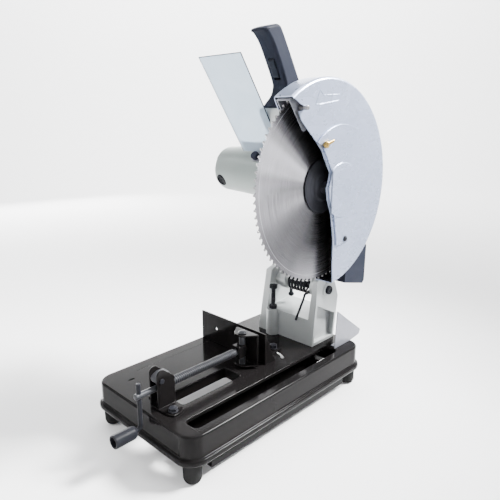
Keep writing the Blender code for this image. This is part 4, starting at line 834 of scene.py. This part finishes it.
def grown(outline, offset):
    """Move a closed outline outward by an offset."""
    following = outline[1:] + outline[:1]
    turn = 0.0
    for first, second in zip(outline, following):
        turn += first[0] * second[1] - second[0] * first[1]
    sign = 1.0 if turn > 0.0 else -1.0
    moved = []
    for before, here, after in zip(outline[-1:] + outline[:-1], outline, following):
        along = Vector((after[0] - before[0], after[1] - before[1])).normalized()
        moved.append((here[0] + along.y * offset * sign, here[1] - along.x * offset * sign))
    return moved


def curved(centre, radius, half_width, start, end, steps=16):
    """An arc-shaped slot with round ends."""
    spot = arc(centre, radius, start, end, 1)
    points = arc(centre, radius + half_width, start, end, steps)
    points += arc(spot[1], half_width, end, end + 180.0, 8)[1:-1]
    points += arc(centre, radius - half_width, end, start, steps)
    return points + arc(spot[0], half_width, start + 180.0, start + 360.0, 8)[1:-1]


def make_feet():
    """Four moulded rubber feet."""
    for node in ("foot_front_left", "foot_front_right", "foot_rear_left", "foot_rear_right"):
        low, high = box(node)
        middle = (low + high) / 2.0
        profile = [(0.0, 0.0), (0.0, 10.0), (0.5, 11.4), (1.8, 13.0), (4.5, 14.2), (6.5, 14.4),
                   (7.0, 15.0), (30.0, 15.5), (high.z, 15.5), (high.z, 0.0)]
        finish(shape(node + "_rubber", turned(profile, (middle.x, middle.y))), node)


def make_stand_and_arm():
    """The two castings, the pivot, both stops and the small sheet parts."""
    softened("stand", 2.2, 3)
    idler = (*joint_place("idler_spin")[1:], 39.0)
    softened("head_arm", 1.6, 3, plain=(idler, (*ARBOR, 47.0)))
    softened("gear_case_cover", 1.2, 2, plain=((*idler[:2], 8.0), (*MOTOR, 20.0)))
    low, high = box("pivot_shaft")
    shaft = [(low.x, 0.0), (low.x, 6.6), (low.x + 0.6, 7.6), (low.x + 1.2, 8.0), (80.3, 8.0),
             (80.3, 9.0), (81.0, 9.4), (84.4, 9.2), (85.6, 8.4), (high.x, 7.2), (high.x, 5.0),
             (high.x - 1.6, 4.4), (high.x - 1.8, 0.0)]
    finish(shape("pivot_rod", turned(shaft, PIVOT), "X"), "pivot_shaft")
    softened("pivot_nut", 1.0)
    low, high = box("stop_bolt")
    centre = footprint(low, high)
    bolt = shape("stop_bolt_body", threaded(centre, 5.0, 1.5, low.z, high.z - 8.0))
    head = shape("head", slab(hexagon(centre, 16.5), high.z - 7.5, high.z - 0.4))
    cap = shape("cap", turned([(high.z - 0.6, 0.0), (high.z - 0.6, 7.6), (high.z - 0.2, 7.4),
                               (high.z, 6.4), (high.z, 0.0)],
                              centre))
    join_shapes(bolt, head, cap)
    finish(bolt, "stop_bolt", 0.0)
    softened("stop_nut", 0.9)
    low, high = box("rise_stop_bolt")
    centre = footprint(low, high)
    stem = shape("rise_stop_thread", threaded(centre, 4.0, 1.25, low.z + 9.0, high.z))
    ball = [(low.z, 0.0)]
    for angle in range(15, 166, 15):
        ball.append((low.z + 5.4 - 5.4 * cos(radians(angle)), 6.5 * sin(radians(angle))))
    ball.append((low.z + 10.8, 0.0))
    join_shapes(stem, shape("ball", turned(ball, centre)))
    finish(stem, "rise_stop_bolt", 0.0)
    for node in ("deflector_plate", "rear_chute", "lower_guard"):
        softened(node, 0.45, 2)
    softened("guard_pin", 0.5)


def threaded(centre, radius, pitch, low, high, steps=24):
    """A screw thread as one helical skin with closed ends."""
    depth = pitch * 0.5
    bm = bmesh.new()
    rings = []
    levels = int((high - low) / pitch * 4)
    for level in range(levels + 1):
        ring = []
        for side in range(steps):
            turn = (level / 4.0 + side / steps) % 1.0
            ridge = abs(turn * 2.0 - 1.0)
            fade = min(1.0, level / 6.0, (levels - level) / 6.0)
            local = radius - depth * (1.0 - ridge) * fade - (1.0 - fade) * depth * 0.3
            angle = 2.0 * pi * side / steps
            ring.append(bm.verts.new((centre[0] + local * cos(angle),
                                      centre[1] + local * sin(angle),
                                      low + (high - low) * level / levels)))
        rings.append(ring)
    for first, second in zip(rings, rings[1:]):
        link_rings(bm, first, second)
    bm.faces.new(rings[0])
    bm.faces.new(rings[-1])
    return bm


def make_torsion_spring():
    """The close-wound return spring: one leg up on the arm, one down to the stand."""
    radius, turns, start_x, pitch, steps = 17.0, 7, -14.0, 8.0, 220
    points = [(start_x - 2.0, PIVOT[0] + 8.0, PIVOT[1] + 36.0),
              (start_x - 1.0, PIVOT[0] + 14.0, PIVOT[1] + 20.0)]
    last = 360.0 * turns - 210.0
    for step in range(steps + 1):
        turned_by = last * step / steps
        angle = radians(30.0 - turned_by)
        points.append((start_x + pitch * turned_by / 360.0, PIVOT[0] + radius * cos(angle),
                       PIVOT[1] + radius * sin(angle)))
    end_x = points[-1][0]
    points += [(end_x + 3.0, 157.0, 194.0), (end_x + 4.0, 151.0, 184.0),
               (end_x - 9.0, 143.4, 137.0)]
    finish(tube("spring_wire", points, 2.5, 14), "torsion_spring", 0.4)


def make_fence():
    """The angle fence, and the three bolts that stand on the table."""
    softened("fence", 0.9, 2)
    widths = {"fence_pivot_bolt": 14.0, "fence_lock_bolt": 14.0, "bracket_bolt": 13.0}
    for node, width in widths.items():
        low, high = box(node)
        centre = footprint(low, high)
        seat = BASE_TOP + (4.6 if node != "bracket_bolt" else 3.6)
        washer = shape(node + "_steel", turned([(seat, 0.0), (seat, 7.8), (seat + 0.3, 8.2),
                                                (seat + 1.4, 8.2), (seat + 1.6, 7.8),
                                                (seat + 1.6, 0.0)], centre))
        head = shape("head", slab(hexagon(centre, width), seat + 1.6, high.z - 0.6))
        crown = shape("crown", turned([(high.z - 1.2, 0.0), (high.z - 1.2, 6.6),
                                       (high.z - 0.5, 6.6), (high.z, 5.4), (high.z, 0.0)], centre))
        shank = shape("shank", slab(circle(centre, 2.9), low.z, seat + 1.0))
        join_shapes(washer, head, crown, shank)
        finish(washer, node, 0.0)


def make_vise():
    """Bracket, half nut, square-threaded screw, bent crank and the jaw."""
    softened("vise_bracket", 1.0, 2)
    softened("half_nut", 1.3, 3)
    softened("nut_pin", 0.5)
    axis = (SCREW_X, SCREW_Z)
    low, high = box("vise_screw")
    shaft = [(low.y, 0.0), (low.y, 4.2), (low.y + 0.8, 5.1), (low.y + 1.6, 5.3), (-208.0, 5.3),
             (-206.0, 7.4), (-205.0, 7.4), (-205.0, 0.0)]
    screw = shape("screw_bar", turned(shaft, axis), "Y")
    thread = shape("thread", threaded(axis, 8.0, 4.0, -206.0, -35.0, 32), "Y")
    tip = shape("tip", turned([(-36.0, 0.0), (-36.0, 6.0), (high.y, 6.0), (high.y, 0.0)], axis),
                "Y")
    join_shapes(screw, thread, tip)
    finish(screw, "vise_screw", 0.0, sharp=50.0)
    low, high = box("crank_rod")
    bend = 8.0
    rod = [(SCREW_X, CRANK_Y, 144.0), (SCREW_X, CRANK_Y, 143.0), (SCREW_X, CRANK_Y, KNOB_Z + bend)]
    bent = arc((CRANK_Y - bend, KNOB_Z + bend), bend, 0.0, -90.0, 12)[1:]
    rod += [(SCREW_X, y, z) for y, z in bent]
    rod += [(SCREW_X, low.y, KNOB_Z)]
    finish(tube("crank_handle", rod, 3.8, 20), "crank_rod", 0.9)
    low, high = box("crank_knob")
    knob = [(high.y, 4.1), (high.y, 7.4), (high.y - 0.6, 8.2), (high.y - 4.6, 10.4),
            (high.y - 6.0, 10.9), (low.y + 2.4, 11.5), (low.y + 0.8, 11.3), (low.y, 10.4),
            (low.y, 9.2), (low.y + 0.7, 8.5), (low.y + 20.0, 8.3), (low.y + 22.0, 4.1)]
    finish(shape("crank_grip", turned(knob, (SCREW_X, KNOB_Z), 64, ring=True), "Y"), "crank_knob")
    softened("jaw_face", 0.8, 2)
    softened("jaw_block", 1.0, 2)
    low, high = box("jaw_pin")
    pin = [(low.z, 0.0), (low.z, 5.4), (low.z + 0.8, 6.2), (156.2, 6.2), (156.2, 7.8), (157.2, 8.0),
           (158.4, 7.4), (159.8, 5.4), (high.z, 3.0), (high.z, 0.0)]
    finish(shape("jaw_spindle", turned(pin, JAW_PIN)), "jaw_pin")


def make_motor():
    """The motor can, with holes cut for its screwed brush caps."""
    low, high = box("motor_housing")
    end = low.x
    can = [(end, 0.0), (end, 36.0), (end + 0.5, 38.8), (end + 1.6, 41.0), (end + 3.0, 42.5),
           (end + 5.0, 43.6), (end + 7.4, 44.4), (end + 10.0, 44.9), (-50.0, 49.0),
           (high.x - 10.6, 50.4), (high.x - 10.0, 50.6), (high.x - 9.6, 51.8), (high.x - 9.0, 52.4),
           (high.x - 0.6, 52.5), (high.x, 52.0), (high.x, 44.0), (-50.0, 43.5), (end + 16.0, 41.0),
           (end + 16.0, 13.3), (end + 5.0, 13.3), (end + 5.0, 0.0)]
    motor = shape("motor_can", turned(can, MOTOR, 120), "X")
    for node, sign in (("brush_cap_front", 1.0), ("brush_cap_rear", -1.0)):
        low, high = box(node)
        middle = (low + high) / 2.0
        place = (middle.x, *MOTOR)
        tilt = radians(118.0) + (0.0 if sign > 0.0 else pi)
        turn = Matrix.Translation(place) @ Matrix.Rotation(tilt, 4, "X")
        hole = slab(circle((0.0, 0.0), 12.8, 40), 33.0, 60.0)
        hole.transform(turn)
        combine(motor, "DIFFERENCE", hole)
        profile = [(35.0, 0.0), (35.0, 12.5), (44.6, 12.5), (45.4, 12.2), (46.0, 11.2), (46.0, 9.4),
                   (45.4, 8.9), (43.4, 8.6), (43.0, 8.0), (43.0, 6.2), (44.4, 6.0), (44.4, 3.4),
                   (43.4, 3.2), (43.4, 0.0)]
        body = turned(profile, (0.0, 0.0), 48)
        body.transform(turn)
        cap = shape(node + "_moulded", body)
        groove = slab(rectangle(-0.9, 0.9, -6.3, 6.3), 43.0, 47.0)
        groove.transform(turn)
        combine(cap, "DIFFERENCE", groove)
        finish(cap, node)
    finish(motor, "motor_housing", 0.0, sharp=40.0)


def grip(along, depth):
    """A point of the grip: distance down its front face, and depth behind that face."""
    lean = radians(GRIP_LEAN)
    return (GRIP_TOP[0] + along * sin(lean) + depth * cos(lean),
            GRIP_TOP[1] - along * cos(lean) + depth * sin(lean))


def make_handle():
    """Two moulded shells with soft corners, and the trigger and button between them."""
    low, high = box("handle_left")
    foot = low.z
    left, right = low.x, box("handle_right")[1].x
    middle = (left + right) / 2.0
    front = [grip(-11.5, -7.0), grip(-8.0, -9.0), grip(-3.0, -5.5), grip(8.0, -2.0),
             grip(20.0, -0.5), grip(45.0, -1.0), grip(88.0, -3.0), grip(96.0, -8.0),
             grip(103.0, -17.0), (46.0, 579.0), (36.0, 570.5), (34.0, foot)]
    back = [(120.0, foot), (119.0, 582.0), grip(112.0, 32.0), grip(60.0, 33.0), grip(8.0, 33.0),
            grip(2.0, 30.0), grip(-2.5, 24.0)]
    outline = smoothed(front + [(34.0, foot), (120.0, foot)] + back, 2)
    trigger_room = [grip(44.0, -12.0), grip(44.0, 16.0), grip(83.0, 16.0), grip(83.0, -12.0)]
    switch_room = [grip(20.0, 9.0), grip(20.0, 28.0), grip(112.0, 28.0), grip(112.0, 9.0)]
    for low_x, high_x, side, node in ((left, middle - 0.15, left, "handle_left"),
                                      (middle + 0.15, right, right, "handle_right")):
        half = shape(node + "_moulded", slab(outline, low_x, high_x), "X")
        bevel_where(half, lambda place: abs(place.x - side) < 0.1 and place.z > foot + 1.0, 5.5, 6)
        combine(half, "DIFFERENCE", slab(trigger_room, middle - 7.0, middle + 7.0), "X")
        combine(half, "DIFFERENCE", slab(switch_room, middle - 12.5, middle + 12.5), "X")
        combine(half, "DIFFERENCE", slab(circle(grip(36.0, 12.0), 5.3, 32), left - 5.0, middle),
                "X")
        finish(half, node, 0.0)
    low, high = box("trigger")
    blade = [grip(46.0, 5.0), grip(46.0, -1.5), grip(49.0, -4.6), grip(56.0, -4.8),
             grip(64.0, -3.4), grip(72.0, -5.2), grip(77.5, -4.8), grip(79.0, -2.0),
             grip(76.0, 6.5), grip(60.0, 8.0), grip(50.0, 8.0)]
    trigger = shape("trigger_moulded", slab(smoothed(blade, 2), low.x, high.x), "X")
    finish(trigger, "trigger", 1.4, 4)
    softened("lock_button", 0.8, 3)


def make_shield():
    """The clear chip screen in its folded bracket, with a screw knob."""
    softened("shield", 0.5, 2)
    softened("shield_bracket", 0.5, 2)
    softened("shield_knob", 1.0, 3)


PIECES = (make_blade, make_upper_guard, make_guard_cover, make_base_pan, make_feet,
          make_stand_and_arm, make_torsion_spring, make_fence, make_vise, make_motor, make_handle,
          make_shield)


# ---------------------------------------------------------------- studio

def add_light(name, place, target, size, power, spread=180.0):
    """A rectangular area light that faces a target, in metres."""
    light = bpy.data.lights.new(name, "AREA")
    light.shape = "RECTANGLE"
    light.size, light.size_y = size
    light.energy = power
    light.spread = radians(spread)
    made = bpy.data.objects.new(name, light)
    made.location = place
    made.rotation_euler = (Vector(target) - Vector(place)).to_track_quat("-Z", "Y").to_euler()
    bpy.context.scene.collection.objects.link(made)


def make_studio():
    """A pale round floor that rises at its edge, the sky light and eight lamps."""
    profile = [(0.0, 0.0), (0.0, 3.2)]
    profile += [(z, r) for r, z in arc((3.2, 1.2), 1.2, -90.0, 0.0, 16)[1:]]
    profile += [(3.4, 4.4)]
    bm = turned(profile, (0.0, 0.0), 96)
    bm.transform(Matrix.Translation((0.0, 0.0, -0.0005)))
    bmesh.ops.recalc_face_normals(bm, faces=bm.faces)
    mesh = bpy.data.meshes.new("studio_floor")
    bm.to_mesh(mesh)
    bm.free()
    mesh.shade_smooth()
    floor = bpy.data.objects.new("studio_floor", mesh)
    bpy.context.scene.collection.objects.link(floor)
    paper = Nodes("studio_paper")
    tone = paper.blend(paper.noise(1.2, 2.0), (0.86, 0.86, 0.86), (0.88, 0.88, 0.88))
    paper.link(tone, paper.shader.inputs["Base Color"])
    paper.shader.inputs["Roughness"].default_value = 0.9
    paper.shader.inputs["Specular IOR Level"].default_value = 0.1
    mesh.materials.append(paper.material)
    world = bpy.data.worlds.new("studio_world")
    world.use_nodes = True
    sky = world.node_tree.nodes["Background"]
    sky.inputs["Color"].default_value = (0.93, 0.95, 1.0, 1.0)
    sky.inputs["Strength"].default_value = 0.5
    bpy.context.scene.world = world
    middle = (0.0, 0.0, 0.35)
    add_light("key", (-1.4, -1.9, 2.3), middle, (1.3, 1.3), 62.0)
    add_light("right_top", (1.0, 1.25, 1.75), (0.12, 0.17, 0.58), (0.6, 0.6), 34.0, spread=50.0)
    add_light("top", (0.1, 0.4, 2.7), middle, (1.6, 1.6), 50.0)
    add_light("rear", (-1.3, 2.3, 1.7), middle, (1.6, 1.2), 16.0)
    add_light("left_low", (-2.9, 0.7, 0.55), (-0.1, 0.0, 0.01), (1.6, 0.5), 55.0, spread=130.0)
    add_light("backdrop", (-1.9, 1.9, 2.5), (-3.4, 3.4, 0.5), (2.6, 1.0), 190.0)
    add_light("backdrop_left", (-2.4, 0.2, 2.6), (-4.2, 1.2, 0.5), (1.6, 1.0), 90.0)
    add_light("backdrop_right", (-0.2, 2.4, 2.6), (-1.2, 4.2, 0.5), (1.6, 1.0), 90.0)


def make_camera():
    """The camera, on the operator's right."""
    camera = bpy.data.cameras.new("camera")
    camera.sensor_width = 36.0
    camera.lens = CAMERA_LENS
    camera.clip_start = 0.01
    made = bpy.data.objects.new("camera", camera)
    made.location = CAMERA_PLACE
    made.rotation_euler = (radians(90.0 - CAMERA_TILT), 0.0, radians(CAMERA_TURN))
    bpy.context.scene.collection.objects.link(made)
    bpy.context.scene.camera = made


dress_frame()
for make_piece in PIECES:
    make_piece()
make_studio()
make_camera()
